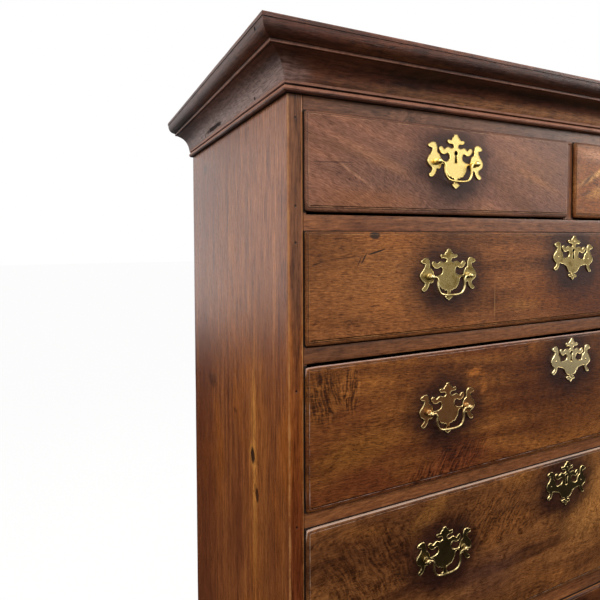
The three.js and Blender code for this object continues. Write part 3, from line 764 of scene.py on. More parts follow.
# Face frame: strips, rails between the drawers, and the divider of the short drawers
def railWalnut():
    look = {"dark": "4a2613", "middle": "6c3f23", "light": "84532f", "cloud": "5c3822", "glow": "7a4a2a",
            "worn": "8a5a38", "waves": 0.012, "bands": 80, "curl": 0.2, "rough": 0.36, "wear": 0.6,
            "gaps": lipBoxes("upper")}
    marks = [
        patch(onFront(300, 10), (420, 60, 14), "5a4034", 0.5, 0.5),
        patch(onFront(170, 8), (40, 60, 20), soft=0.6, swirl=0.03, size=0.03, curl=0.6),
        patch(onFront(450, 149), (420, 60, 20), "6e4630", 0.5, 0.5),
        patch(onFront(420, 312), (420, 60, 20), "7a4c2c", 0.5, 0.5),
        patch(onFront(300, 515), (420, 60, 24), "7c4c2a", 0.5, 0.5),
    ]
    return wood("railWalnut", look, marks)


def buildFaceFrame():
    joint = {"stile": 20.45 * mm, "strip": 25 * mm, "back": 1.6 * mm, "facing": 5 * mm, "rail": 60 * mm,
             "divider": 12 * mm, "set": 0.15 * mm, "guide": 30 * mm, "runner": 24 * mm, "runnerHigh": 20 * mm}
    slack = {"upper_short_left": (7, 0), "upper_long_1": (6, 0), "upper_long_2": (0, 7.2)}    # under, over
    rows = sorted(rowNames, key=sillOf)
    under = [sillOf(name) - slack.get(name, (0, 0))[0] * mm for name in rows]
    over = [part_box(name + "_front")[1].z - lipOverlap + slack.get(name, (0, 0))[1] * mm for name in rows]
    shell = newShell()
    outer, inner = caseHalf - joint["stile"], caseHalf - joint["strip"]
    stripFront, stripBack, railBack = (faceY + joint[key] for key in ("back", "facing", "rail"))
    for sign in hand.values():
        corners = mirrored(sign, (outer, stripFront, caseFoot), (inner, stripBack, caseTop))
        addBoard(shell, *corners, "zxy", 40 + sign, soft=0.0004, wobble=0.0002)
    for i, (foot, top) in enumerate(zip([caseFoot] + over, under + [caseTop])):
        railFront = faceY + joint["set"] * (1 + i % 2)
        addBoard(shell, (-outer, railFront, foot), (outer, railBack, top), "xzy", 50 + 1.7 * i,
                 soft=0.0006, wobble=0.0004)
    half = joint["divider"]
    addBoard(shell, (-half, faceY + joint["set"], under[-1]), (half, railBack, over[-1]),
             "zxy", 61, soft=0.0007, wobble=0.0003)
    makePiece(shell, "faceFrame", railWalnut(), "case", ["upper_face_frame"])
    shell = newShell()
    sill = sillOf("upper_short_left")
    runner = (joint["runner"], sill - joint["runnerHigh"], sill)
    for x, foot, top in (runner, (half, sill, sill + joint["guide"])):
        addBoard(shell, (-x, railBack, foot), (x, innerBack, top), "yxz", 63 + x)
    makePiece(shell, "centreRunner", finishes["bare"], "case")


buildFaceFrame()
print("face frame built")


# Mouldings, run along the left side, the front and the right side
def mouldingPoints(steps, scale=mm):     # out, up and edge, or a curve of three pairs, in millimetres
    points = []
    for step in steps:
        if isinstance(step, tuple):
            points.append((Vector(step[:2]) * scale, step[2]))
            continue
        start, bend, end = (Vector(pair) * scale for pair in step)
        for i in range(9):
            t = i / 8
            points.append((start * (1 - t) ** 2 + bend * 2 * t * (1 - t) + end * t ** 2, 0.1))
    return points


def buildMoulding(name, node, material, steps, seed, dents):
    low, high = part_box(node)
    profile = mouldingPoints(steps)
    gap = 0.12 * mm

    def sidePlace(out, t, sign):
        return Vector((sign * (caseHalf + out), backY + (faceY - out + gap - backY) * t, low.z))

    def frontPlace(out, t, _):
        return Vector((-caseHalf - out + gap + 2 * (caseHalf + out - gap) * t, faceY - out, low.z))

    shell = newShell()
    runs = (("yzx", 24, sidePlace, -1), ("yzx", 24, sidePlace, 1), ("xzy", 44, frontPlace, 0))
    for number, (order, count, placeOf, sign) in enumerate(runs):
        rings = []
        for i in range(count + 1):
            ring = []
            for point, edge in profile:
                spot = placeOf(point.x, i / count, sign) + Vector((0, 0, point.y))
                shake = noise.noise(spot * 14 + Vector((seed, number, 0)))
                chip = max(0, noise.noise(spot * 55 + Vector((0, seed, number))) - 0.35) * max(0, edge)
                sink = (0.12 + 0.12 * shake + dents * chip) * mm
                if point.x > 1 * mm:
                    spot += Vector((-sign * sink, 0 if sign else sink, 0))
                ring.append(spot)
            rings.append(ring)
        addRings(shell, rings, [[edge for _, edge in profile]] * len(rings), order, seed + number)
    makePiece(shell, name, material, "case", [node], sharp=30)


def corniceWalnut():
    look = {"dark": "2e1610", "middle": "562e1e", "light": "78452c", "cloud": "40241c", "glow": "643822",
            "worn": "a8735c", "bands": 70, "curl": 0.3, "rough": 0.42, "wear": 1.1, "shine": 0.32,
            "streaks": 2.3, "fibres": 2, "clouds": 14, "relief": 0.7}

    def atFront(out, rise):
        return (0, faceY - out, corniceFoot + rise)

    def atSide(out, behind, rise):
        return (-caseHalf - out, faceY + behind, corniceFoot + rise)

    marks = [
        # painted shade: the upper part of the front cove, under the crown
        patch(atFront(0.022, 0.038), (560, 16, 12), "180a08", 0.85, 0.8),
        patch(atFront(0.01, 0.017), (560, 14, 13), "9a6234", 0.75, 0.8),
        patch(atFront(0.045, 0.052), (560, 14, 10), "36201a", 0.7, 0.5),
        patch(atSide(0.015, 0.29, 0.0195), (30, 62, 4.5), "120705", 0.95, 0.5, ragged=1, rags=0.009,
              dent=1.2, gloss=0.5),
        patch(atSide(0.012, 0.27, 0.0148), (30, 34, 2), "a08478", 0.8, 0.4, ragged=0.9, rags=0.008,
              dent=0.5, gloss=0.3),
        # painted reflection: a pale grey haze over the side's cove and bead, in place of sheen
        patch(atSide(0.01, 0.2, 0.022), (60, 330, 26), "967a72", 0.75, 0.5),
        patch(atSide(0.045, 0.2, 0.058), (30, 330, 14), "4a3834", 0.5, 0.5),
    ]
    nailHoles = ((-0.504, -0.206, 0.0156), (-0.499, -0.14, 0.0159), (-0.536, -0.254, 0.0559),
                 (-0.5, 0.12, 0.016))
    for x, y, rise in nailHoles:
        marks.append(patch((x, y, corniceFoot + rise), (7, 3, 3), "080403", 1, 0.4, ragged=0.1,
                           dent=2, gloss=0.5))
    return wood("corniceWalnut", look, marks)


def buildMouldings():
    # In the cornice, edges below zero paint shade at the foot, in the quirks and under the crown's fillets,
    # and the high edges of the bead's upper half and the fillet above it paint those faces light, as lit
    cornice = [
        (0.3, 0, -1), (2.4, 0, -1),
        *[(3.4 + 4.25 * math.sin(a), 4.25 - 4.25 * math.cos(a), 0.3) for a in (0.5, 1.0)],
        *[(3.4 + 4.25 * math.sin(a), 4.25 - 4.25 * math.cos(a), 1) for a in (1.57, 2.1, 2.6)],
        (3.7, 8.5, -0.6), (3.5, 9.2, -0.7), (5.6, 9.7, 0), (6.4, 10.4, 1), (6.7, 13.2, 0.9),
        [(7.0, 13.7), (10.4, 36.2), (32.2, 41)], (32.7, 40.8, -0.8), (35.0, 40.9, 0), (35.7, 41.5, 0.9),
        (35.7, 44.2, 0.6), (36.1, 44.9, -0.9), [(37.0, 45.1), (48.4, 46.8), (49, 59.6)], (49.1, 60.2, -0.6),
        (49.8, 60.4, 0.3), (50, 64.4, 0.8), (49.5, 65, 0.3), (0.3, 65, 0),
    ]
    # In the waist moulding, edges below zero paint shade in the quirk and along the top, under the upper case
    waist = [
        (0.3, 0, 0), (27.4, 0, 0), (28, 0.6, 0.6), (28, 3.4, 0.6), [(28, 3.8), (28, 10), (21.3, 10.6)],
        (20.9, 10.6, -0.7), (19.2, 10.8, -0.5), (19, 12.4, 0.7), [(18.8, 12.6), (6.8, 13.6), (5.6, 23)],
        (4.5, 24, -0.8), (0.3, 24, -0.8),
    ]
    buildMoulding("corniceMoulding", "cornice", corniceWalnut(), cornice, 5, 1.6)
    buildMoulding("waistMoulding", "waist_moulding", finishes["lower"], waist, 9, 1.2)


# Half outlines of the brass plates, in millimetres from the keyhole's foot, from the top point round
plateWing = [
    (0, 39.2), (2.6, 38.2), (3.4, 36), (5.8, 34), (7.6, 31.2), (10.4, 31), (13.4, 31.2), (14.6, 29),
    (12.6, 26.6), (9, 26.4), (5.2, 25.6), (3.7, 23.4), (3.7, 21.6), (7.4, 19.4), (11.4, 20.4), (15, 21.2),
    (18.4, 18.9), (21.4, 17.4), (23.6, 20.4), (26.6, 21.4), (29.2, 18.9), (27.6, 15.2), (24.2, 11.9),
    (19.6, 11.4), (15.6, 13.4), (12.4, 12.4), (10.8, 8.8), (11, 5.6), (13.4, 2.6), (18, 0.8), (23.4, 0.2),
    (26.6, 1.4), (27.6, 6.6), (30.4, 11.2), (33.2, 12.6), (33.4, 17.8), (34.2, 22.4), (36.8, 25.8),
    (40.6, 26.2), (45.8, 23.8), (47.6, 21.2), (44.6, 19), (40.8, 18.4), (40.8, 15), (43.4, 10.2),
    (47.4, 5.8), (49, 1.2), (47.6, -3.6), (43.4, -6.8), (40.6, -9.2), (41.8, -13.4), (45.8, -16.8),
    (45.4, -19.4), (42, -20.4), (38.2, -17.8), (35.2, -12.8),
]
pullShield = [
    (33.8, -8.8), (30.2, -9.2), (27.2, -6.8), (25.6, -2.2), (21.6, -2), (18.6, -4.6), (18, -9.6),
    (15.6, -14), (12.6, -17.6), (11, -18.8), (8.6, -18.4), (6.6, -20.6), (4.2, -20.2), (2.6, -21.9),
    (2.4, -24.5), (2.6, -27.6), (5.8, -29.4), (5.6, -30.8), (2.8, -33), (0, -35),
]
keyShield = [
    (34.4, -8.6), (30, -8.4), (25.6, -9.4), (20.6, -10.6), (16.8, -12.4), (14.2, -16), (11.4, -20),
    (8.8, -22.2), (5.4, -22.6), (3, -23.6), (3.4, -26), (7, -25.6), (10, -27.6), (8.4, -30.6), (4.6, -30.4),
    (3, -32.6), (0, -35.6),
]


def plateForm(node):             # a plate's size, tilt and outline, and where it lies on its front
    tilts = {"upper_long_1": 3.5, "upper_long_2": 2.5, "upper_long_3": 3}
    keyed = node.endswith("_escutcheon")
    wide = 0.94 if keyed else 1
    tall = 0.94 if keyed else 1 if "short" in node else 0.95
    turn = Matrix.Rotation(-math.radians(tilts.get(node[:12], 0) if keyed else 0), 2)
    half = smoothPath([(x * wide, z * tall) for x, z in plateWing + (keyShield if keyed else pullShield)], 2)
    outline = [turn @ p for p in half + [Vector((-p.x, p.y)) for p in reversed(half[1:-1])]]
    low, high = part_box(node)
    middle = Vector((0, high.y + 0.3 * mm, 0))
    for axis, values in ((0, [p.x for p in outline]), (2, [p.y for p in outline])):
        middle[axis] = (low[axis] + high[axis] - (min(values) + max(values)) * mm) / 2
    return {"outline": outline, "middle": middle, "turn": turn, "wide": wide}


# Drawer fronts: a lipped edge all round, and a keyhole where there is a lock
def keyholeLoop(middle, grow=0.0):
    hole = {"radius": 3.3, "rise": 13.6, "foot": -0.2, "slot": 2.8, "spread": 60}
    loop = []
    for i in range(15):
        angle = math.radians(-hole["spread"] + (180 + 2 * hole["spread"]) * i / 14)
        reach = hole["radius"] * mm + grow
        loop.append((reach * math.cos(angle), hole["rise"] * mm + reach * math.sin(angle)))
    slot, foot = hole["slot"] * mm + grow, hole["foot"] * mm - grow
    loop += [(-slot, foot), (-slot / 2, foot), (slot / 2, foot), (slot, foot)]
    return [(middle.x + x, middle.z + z) for x, z in loop]


def frontRing(halfX, halfZ, corner, counts):
    ring = []
    for turn in range(4):
        run, rise = (halfX, halfZ) if turn % 2 == 0 else (halfZ, halfX)
        count = counts[turn % 2]
        side = [((run - corner) * (2 * i / (count - 1) - 1), -rise) for i in range(count)]
        side.append((run - corner * 0.29, -rise + corner * 0.29))
        for u, v in side:
            ring.append(((u, v), (-v, u), (-u, -v), (v, -u))[turn])
    return ring


def lipLayers():                 # inset, depth from the front's face, and edge, from the field to the back; the field's arris gets high edges for wear and a painted highlight line, and edges below zero paint shade in the quirk, over the lip's round and behind the lip
    lip = {"round": 2.8, "depth": 2.7, "step": 0.5, "steps": 7}
    field = [(6.5, 0, 0), (4.7, 0, 0.4), (4.1, 0.02, 0.72), (3.5, 0.08, 0.68), (3.3, 0.4, -0.8),
             (2.85, 0.5, -0.9)]
    rear = [(0, 4.3, 0.5), (0.25, 4.9, -0.4), (0.8, 5.2, -1), (6, 5.2, 0), (6, 18.9, 0), (6.6, 19.5, 0)]
    thumb = []
    for i in range(lip["steps"] + 1):
        angle = math.pi / 2 * i / lip["steps"]
        inset, fall = lip["round"] * (1 - math.sin(angle)), lip["depth"] * (1 - math.cos(angle))
        thumb.append((inset, lip["step"] + fall, -0.2 if i < lip["steps"] - 1 else 0.6))
    return field + thumb + rear


def buildFront(name, material, seed):
    lip = {"corner": 1.8, "worn": 1.2, "wave": 0.3, "soft": 11 * mm, "foot": 0.6, "near": 20 * mm,
           "point": 12 * mm}
    # the lips' upward faces get the worn colour: dust, and a painted highlight of the light they catch
    dustAndHighlight = {"edge": 1.0, "band": 3 * mm, "from": 2.6, "to": 4.8}
    if name in ("upper_long_2", "upper_long_3"):
        dustAndHighlight["from"] = 1.3
    low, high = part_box(name + "_front")
    centre, half = (low + high) / 2, (high - low) / 2
    counts = [max(6, int(2 * reach / lip["point"])) for reach in (half.x, half.z)]
    rings, edges = [], []
    for inset, depth, edge in lipLayers():
        corner = max(0.2, lip["corner"] - inset * 0.5) * mm
        ring, ringEdges = [], []
        for x, z in frontRing(half.x - inset * mm, half.z - inset * mm, corner, counts):
            dustyAndLit = z > half.z - dustAndHighlight["band"] and dustAndHighlight["from"] < depth < dustAndHighlight["to"]
            ringEdges.append(dustAndHighlight["edge"] if dustyAndLit else edge)
            z += inset * lip["foot"] * mm if z < 0 and inset < 5 else 0
            wave = 0.5 + 0.5 * noise.noise(Vector((x * 16 + seed, z * 16, inset * 0.2)))
            nearX, nearZ = half.x - abs(x), half.z - abs(z)
            atCorner = max(0, 1 - math.hypot(nearX, nearZ) / lip["soft"])
            patchy = 0.4 + noise.noise(Vector((seed, math.copysign(2, x), math.copysign(3, z))))
            sink = lip["wave"] * wave + lip["worn"] * atCorner ** 2 * max(0.1, patchy)
            sink *= mm * (1 if inset < 3 else 0.3)
            x -= math.copysign(sink if nearX < lip["near"] else 0, x)
            z -= math.copysign(sink if nearZ < lip["near"] else 0, z)
            ring.append(Vector((centre.x + x, low.y + depth * mm, centre.z + z)))
        rings.append(ring)
        edges.append(ringEdges)
    shell = newShell()
    first, _ = addRings(shell, rings, edges, "xzy", seed, (False, True))
    outline = [Vector((p.x, p.z, 0)) for p in rings[0]]
    loops, index = [outline], list(range(first, first + len(outline)))
    if name.startswith("upper"):
        middle = plateForm(name + ("_pull_plate" if "short" in name else "_escutcheon"))["middle"]
        rings = []
        # the keyhole's walls get edges below zero: painted shade inside the hole
        for grow, depth in ((1.2, 0), (0.3, 0), (0.2, 0.4), (0.2, 12)):
            rings.append([(x, low.y + depth * mm, z) for x, z in keyholeLoop(middle, grow * mm)])
        start, _ = addRings(shell, rings, [0, 0.3, -0.6, -1], "xzy", seed, (False, True))
        loops.append([Vector((x, z, 0)) for x, _, z in rings[0]])
        index += range(start, start + len(rings[0]))
    shell["faces"] += [tuple(index[i] for i in face) for face in tessellate_polygon(loops)]
    makePiece(shell, name + "Face", material, name, [name + "_front"], sharp=32)


def frontWalnut(name):
    every = {"shine": 0.19, "streaks": 2.7, "fineness": 600, "shortness": 0.22, "fibres": 2, "wear": 1.2}
    looks = {
        "upper_short_left": {
            "dark": "68432f", "middle": "7a5140", "light": "8b5d46", "cloud": "6c4a3c", "glow": "84583a",
            "worn": "b98b68", "lean": 0.37, "waves": 0.05, "bands": 34, "streaks": 1.5, "shortness": 0.14,
        },
        "upper_short_right": {
            "dark": "5a2f18", "middle": "8a562c", "light": "ac763e", "cloud": "80481f", "glow": "9e6636",
            "worn": "c09060", "lean": 0.12, "waves": 0.06, "bands": 40, "curl": 0.35,
        },
        "upper_long_1": {
            "dark": "573014", "middle": "6f4222", "light": "87522c", "cloud": "65381c", "glow": "804b24",
            "worn": "b98553", "lean": 0.03, "waves": 0.04, "bands": 38, "curl": 0.2,
        },
        "upper_long_2": {
            "dark": "512a10", "middle": "6c3e1a", "light": "845024", "cloud": "5c2e14", "glow": "7e4b20",
            "worn": "b4968a", "lean": 0.06, "waves": 0.05, "bands": 44, "curl": 0.35,
        },
        "upper_long_3": {
            "dark": "3c2010", "middle": "663d1f", "light": "80512a", "cloud": "4e2a14", "glow": "7a4a24",
            "worn": "b8a090", "lean": -0.05, "waves": 0.09, "bands": 36, "curl": 0.45,
        },
        "plain": {
            "dark": "3c2010", "middle": "60361c", "light": "7a4826", "cloud": "512b15", "glow": "6e4220",
            "worn": "98663a", "lean": 0.02, "waves": 0.05, "bands": 46, "curl": 0.25,
        },
    }
    return wood(name + "Walnut", every | looks.get(name, looks["plain"]), frontMarks(name))


def frontMarks(name):            # the figure, and a dark halo round the brasses: old polish, and the plates' painted shadow
    marks = list(figureMarks.get(name, []))
    for plate in [pull + "_plate" for pull in pullsOf(name)] + [name + "_escutcheon"]:
        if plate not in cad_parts:
            continue
        x, _, z = plateForm(plate)["middle"]
        # dark halo: old polish round each plate, and its painted shadow, the smaller patch set 4 mm lower
        for rise, wide, tall, soft, share in ((0, 98, 84, 0.6, 0.7), (-4, 70, 58, 0.5, 0.75)):
            marks.append(patch((x, faceY, z + rise * mm), (wide, through, tall), "26100c", share, soft,
                               ragged=0.5, rags=0.03))
    return sorted(marks, key=lambda mark: "late" in mark)


def pullsOf(name):
    plates = (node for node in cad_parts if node.startswith(name + "_pull") and node.endswith("_plate"))
    return sorted(plate[:-6] for plate in plates)


figureMarks = {
    "upper_short_left": [
        frontPatch(400, 70, 110, 60, "7e5236", 0.5),
        frontPatch(110, 124, 130, 26, "8c5632", 0.55),
        frontPatch(85, 88, 60, 3, "a5765a", 0.5, turn=-32),
        frontPatch(60, 76, 70, 4, "67402f", 0.5, turn=-36),
        frontPatch(120, 68, 100, 12, "9c6a4c", 0.45, turn=-20),
        frontPatch(410, 82, 75, 9, "a06c44", 0.45, turn=-19),
        frontPatch(60, 77, 42, 0.9, "2a140c", 0.7, 0.6, turn=3, ragged=0.3, dent=0.6),
    ],
    "upper_short_right": [
        frontPatch(560, 34, 80, 16, "c08a68", 0.6),
        frontPatch(560, 62, 90, 8, "d09c5e", 0.6, turn=24),
        frontPatch(528, 76, 26, 5, "40200e", 0.8, 0.8, turn=38, ragged=0.5),
        frontPatch(524, 98, 22, 5, "4a2812", 0.7, 0.8, turn=12, ragged=0.7),
        frontPatch(560, 92, 50, 12, "c48c4c", 0.6, turn=20),
        frontPatch(600, 80, 120, 50, swirl=0.05, size=0.04, strokes=30, depth=0.5),
    ],
    "upper_long_1": [
        frontPatch(150, 215, 190, 90, "935d31", 0.6, 0.95),
        frontPatch(385, 270, 55, 12, "94602f", 0.5),
        frontPatch(324, 259, 12, 22, "4a2411", 0.5, 0.8, ragged=0.5),
        frontPatch(560, 250, 200, 100, "4a1e04", 0.8, 0.7),
        frontPatch(118.3, 166, 10, 5.5, "2e2018", 0.95, 0.4, ragged=0.4, rags=0.006, dent=0.1),
        frontPatch(121, 187, 18, 1.5, "231712", 0.95, 0.5, turn=14, ragged=0.2, dent=1),
        frontPatch(102, 195, 1.6, 10, "2e1a10", 0.85, 0.5, turn=-30, ragged=0.3, dent=0.8),
        frontPatch(95, 199, 1.1, 9, "2e1a10", 0.7, 0.5, turn=-26, ragged=0.3, dent=0.6),
        frontPatch(36, 200, 11, 1, "2a130a", 0.8, 0.6, turn=17, ragged=0.3, dent=0.6),
        frontPatch(75, 193.5, 33, 0.9, "2a130a", 0.7, 0.7, turn=6, ragged=0.3, dent=0.5),
        frontPatch(326, 260, 1, 36, "a87c4c", 0.5, 0.7, ragged=0.7, dent=0.4),
    ],
    "upper_long_2": [
        frontPatch(45, 365, 34, 48, "56300f", 0.4, 0.6, ragged=0.7, rags=0.03, strokes=-12, depth=1.1),
        frontPatch(82, 360, 20, 42, "7c4a20", 0.5, 0.6, ragged=0.8, rags=0.03, strokes=6, depth=1.1),
        frontPatch(112, 352, 45, 14, "945a28", 0.5, turn=-8),
        frontPatch(95, 440, 90, 34, "80501f", 0.5, turn=8),
        frontPatch(290, 361, 26, 10, "a8642c", 0.7, ragged=1.3, rags=0.008, late=True),
        frontPatch(305, 386, 9, 18, "985a28", 0.65, ragged=1.3, rags=0.008, late=True),
        frontPatch(245, 482, 105, 30, "5e2c16", 0.4, 0.7, turn=13, ragged=0.6, strokes=32, depth=1),
        frontPatch(480, 400, 200, 110, "421c0a", 0.7, 0.6),
    ],
    "upper_long_3": [
        frontPatch(115, 595, 120, 70, "47260f", 0.4, 0.6, strokes=-28, depth=0.75, fine=0.0035,
                   swirl=0.03, size=0.03),
        frontPatch(330, 580, 150, 60, "5c3618", 0.3, 0.7, strokes=40, depth=0.7, fine=0.0035, swirl=0.03,
                   size=0.03),
        frontPatch(210, 548, 60, 22, "8a5a28", 0.6, turn=30),
        frontPatch(100, 545, 60, 14, "7c4c22", 0.5, turn=-10),
        frontPatch(380, 533, 50, 22, "8c5a2a", 0.5),
        frontPatch(545, 605, 110, 95, "b2783e", 0.7, swirl=0.06, size=0.04),
        frontPatch(760, 610, 260, 90, "8c5a2c", 0.6),
        frontPatch(320, 665, 110, 50, "4e3024", 0.6),
    ],
}


# Drawer boxes of thin boards, with the tails of their sides let into the front
def buildBox(name, seed):
    box = {"wall": 12 * mm, "bottom": 10 * mm, "boards": 3, "gap": 0.15 * mm, "low": 1.5 * mm}
    tail = {"pitch": 28 * mm, "narrow": 7 * mm, "wide": 10 * mm, "long": 10.4 * mm, "let": 0.5 * mm,
            "inset": 5.9 * mm}
    low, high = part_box(name + "_box")
    frontLow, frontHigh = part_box(name + "_front")
    wall, gap, floor = box["wall"], box["gap"], low.z + box["bottom"]
    shell = newShell()
    depth = (high.y - wall - low.y) / box["boards"]
    for i in range(box["boards"]):
        front = low.y + i * depth
        addBoard(shell, (low.x + wall, front, low.z), (high.x - wall, front + depth - 3 * gap, floor),
                 "xyz", seed + i, soft=0.0007, wobble=0.0003)
    count = max(2, round((high.z - low.z) / tail["pitch"]))
    pitch = (high.z - low.z) / count
    near, far = low.y - tail["long"], low.y + tail["let"]
    for sign, x in ((-1, low.x), (1, high.x - wall)):
        addBoard(shell, (x, low.y, low.z), (x + wall, high.y - gap, high.z), "yzx", seed + 5 * sign)
        outer = frontLow.x + tail["inset"] if sign < 0 else frontHigh.x - tail["inset"]
        inner = x + wall * (0.7 if sign < 0 else 0.3)
        for i in range(count):
            z = low.z + pitch * (i + 0.5)
            corners = ((near, z - tail["wide"]), (near, z + tail["wide"]), (far, z + tail["narrow"]),
                       (far, z - tail["narrow"]))
            rings = [[(reach, *corner) for corner in corners] for reach in (outer, inner)]
            addRings(shell, rings, [0.3, 0], "yzx", seed + i)
    near, far = low.x + wall + gap, high.x - wall - gap
    addBoard(shell, (near, high.y - wall, floor), (far, high.y, high.z - box["low"]), "xzy", seed + 9)
    makePiece(shell, name + "Box", finishes["bare"], name, [name + "_box"])


# Brass furniture
def addPlate(shell, form, keyed, seed):
    middle = form["middle"]
    outline = [(middle.x + p.x * mm, middle.z + p.y * mm) for p in form["outline"]]
    holes = [keyholeLoop(middle)] if keyed else []
    bevel = ((-0.5, 0.1, 0), (-0.5, 0.8, 0.6), (-0.3, 1.4, 1), (0.1, 1.8, 1), (0.5, 1.72, 1),
             (0.7, 1.35, 0.2))
    layers = [(inset * mm, middle.y - height * mm, edge) for inset, height, edge in bevel]
    addSheet(shell, outline, holes, layers, "xzy", seed)


def addPost(shell, centre, seed):
    profile = [(4.5, 1.2, 0.6), (4.6, 2, 0.9), (4.3, 2.6, 0.9), (3.4, 2.9, 0), (2.8, 3.6, -0.3), (3, 4.3, 0),
               (3.6, 4.9, 0.6), (4, 5.8, 1), (4.1, 6.8, 1), (3.9, 8, 1), (3.3, 9.1, 0.8), (2.4, 9.8, 0.1),
               (2.1, 9.9, 0), (1.7, 10.4, 1), (0.9, 10.7, 1), (0.3, 10.8, 1)]
    rings = []
    for radius, out, _ in profile:
        x, y, z = centre.x, centre.y - out * mm, centre.z
        rings.append([(x + radius * mm * math.cos(a), y, z + radius * mm * math.sin(a))
                      for a in fullTurn(20)])
    addRings(shell, rings, [edge for *_, edge in profile], "xzy", seed)


def buildPull(pull, drawer, material, seed):
    bail = {"out": 6.6, "drop": 25.6, "half": 33.5, "pin": 39.2, "thin": 1.4, "limb": 0.3, "limbAt": 23,
            "grip": 0.3, "lowest": 27.25, "sides": 12}
    form = plateForm(pull + "_plate")
    centre = form["middle"]
    shell = newShell()
    addPlate(shell, form, "short" in pull, seed)
    for sign in hand.values():
        addPost(shell, centre + Vector((sign * bail["half"] * mm, 0, 0)), seed)
    makePiece(shell, pull + "Plate", material, drawer, [pull + "_plate"], sharp=42)

    half = [(1, 0), (0.88, 0), (0.764, 0.047), (0.699, 0.195), (0.704, 0.43), (0.675, 0.664), (0.552, 0.891),
            (0.313, 0.984), (0, 1)]
    path = [(bail["pin"], 0)] + [(x * bail["half"], -z * bail["drop"]) for x, z in half]
    path = smoothPath(path + [(-x, z) for x, z in reversed(path[:-1])], 5)
    rings = []
    for i, point in enumerate(path):
        ahead = (path[min(i + 1, len(path) - 1)] - path[max(i - 1, 0)]).normalized()
        side = Vector((-ahead.y, ahead.x))
        swell = math.exp(-((abs(point.x) - bail["limbAt"]) / 5) ** 2) if point.y < -3 else 0
        radius = bail["thin"] + bail["limb"] * swell + bail["grip"] * math.exp(-(point.x / 8) ** 2)
        ring = []
        for angle in fullTurn(bail["sides"]):
            spot = point + side * math.cos(angle) * radius
            ring.append((centre.x + spot.x * mm, centre.y - (bail["out"] + math.sin(angle) * radius) * mm,
                         centre.z + max(-bail["lowest"], spot.y) * mm))
        rings.append(ring)
    shell = newShell()
    addRings(shell, rings, [0.75] * len(rings), "xzy", seed)
    makePiece(shell, pull + "Bail", material, pull + "_swing", [pull + "_bail"], sharp=60)


def buildEscutcheon(drawer, material, seed):
    pin = {"places": ((-37.5, 1.5), (37.5, 1.5), (0, 29.5), (0, -28.5)), "out": 1.45, "radius": 1.3 * mm,
           "sides": 10}
    form = plateForm(drawer + "_escutcheon")
    shell = newShell()
    addPlate(shell, form, True, seed)
    for place in pin["places"]:
        spot = form["turn"] @ Vector(place) * form["wide"]
        at = form["middle"] + Vector((spot.x, -pin["out"], spot.y)) * mm
        addNail(shell, at, (0, -1, 0), pin["radius"], pin["sides"])
    makePiece(shell, drawer + "Escutcheon", material, drawer, [drawer + "_escutcheon"], sharp=42)


# Old brass: rims rubbed bright, and a browner skin inside them
def makeBrassSkin():
    white = (1, 1, 1, 1)
    group, takes, gives = newGroup("brassSkin", [
        ("Place", "Vector", (0, 0, 0)), ("Edge", "Float", 0), ("Tarnish", "Float", 0.5),
        ("Pale", "Color", white), ("Skin", "Color", white), ("Deep", "Color", white),
    ], [("Colour", "Color"), ("Rough", "Float"), ("Height", "Float")])
    cloudy = noiseOf(group, takes["Place"], 90, 3, 0.6)
    fine = noiseOf(group, takes["Place"], 900, 3, 0.65)
    scratches = noiseOf(group, scaled(group, takes["Place"], (0.25, 1, 1.6)), 1500, 2)
    level = timesPlus(group, cloudy, 0.9, timesPlus(group, fine, 0.5, takes["Tarnish"]))
    rubbed = times(group, takes["Edge"], fade(group, cloudy, 0.3, 0.6))
    level = timesPlus(group, rubbed, -0.85, level)
    skin = fade(group, level, 0.75, 1.25)
    colour = mixColour(group, skin, takes["Pale"], takes["Skin"])
    colour = mixColour(group, times(group, fade(group, level, 1.2, 1.6), 0.8), colour, takes["Deep"])
    rough = timesPlus(group, skin, 0.16, timesPlus(group, fine, 0.14, 0.2))
    group.links.new(colour, gives["Colour"])
    group.links.new(rough, gives["Rough"])
    group.links.new(timesPlus(group, scratches, 0.5, fine), gives["Height"])
    return group


effects["brass"] = makeBrassSkin()


def oldBrass(name, tarnish, **colours):
    material, tree, shader = newMaterial(name, Metallic=1.0)
    place = addNode(tree, "TexCoord").outputs["Object"]
    edge = meshValue(tree, "edge")
    inputs = {"Place": place, "Edge": edge, "Tarnish": tarnish}
    inputs |= {label.capitalize(): tone(code) for label, code in colours.items()}
    skin = useEffect(tree, "brass", inputs)
    bump = {"Strength": 0.25, "Distance": 0.0002, "Height": skin["Height"]}
    finishSurface(tree, shader, skin["Colour"], skin["Rough"], bump)
    return material


def buildDrawers():
    brasses = {
        "short": oldBrass("brightBrass", 0.05, pale="ecd286", skin="cfae66", deep="8f6d3c"),
        "long_1": oldBrass("oliveBrass", 0.55, pale="f0dc9e", skin="76602f", deep="463619"),
        "long_2": oldBrass("brownBrass", 0.6, pale="dfc68c", skin="8c5c36", deep="422b19"),
        "long_2_key": oldBrass("paleBrass", 0.3, pale="ecd8a4", skin="a08a5c", deep="5f4e30"),
        "other": oldBrass("darkBrass", 0.65, pale="d4bc84", skin="4e4226", deep="2c2618"),
    }
    for seed, name in enumerate(frontNames("upper") + frontNames("lower")):
        brass = next((brasses[key] for key in brasses if key in name), brasses["other"])
        buildFront(name, frontWalnut(name), 3.7 * seed)
        buildBox(name, 11.3 * seed)
        for pull in pullsOf(name):
            buildPull(pull, name, brass, seed)
        if name + "_escutcheon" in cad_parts:
            buildEscutcheon(name, brasses["long_2_key"] if "long_2" in name else brass, seed)


# Lower case, apron and legs
def lowerWalnut():
    look = {"dark": "3d1c0f", "middle": "5d3019", "light": "764224", "cloud": "4d2614", "worn": "9a6a40",
            "waves": 0.02, "bands": 60, "curl": 0.2, "rough": 0.36, "wear": 0.75, "gaps": lipBoxes("lower")}
    return wood("lowerWalnut", look)


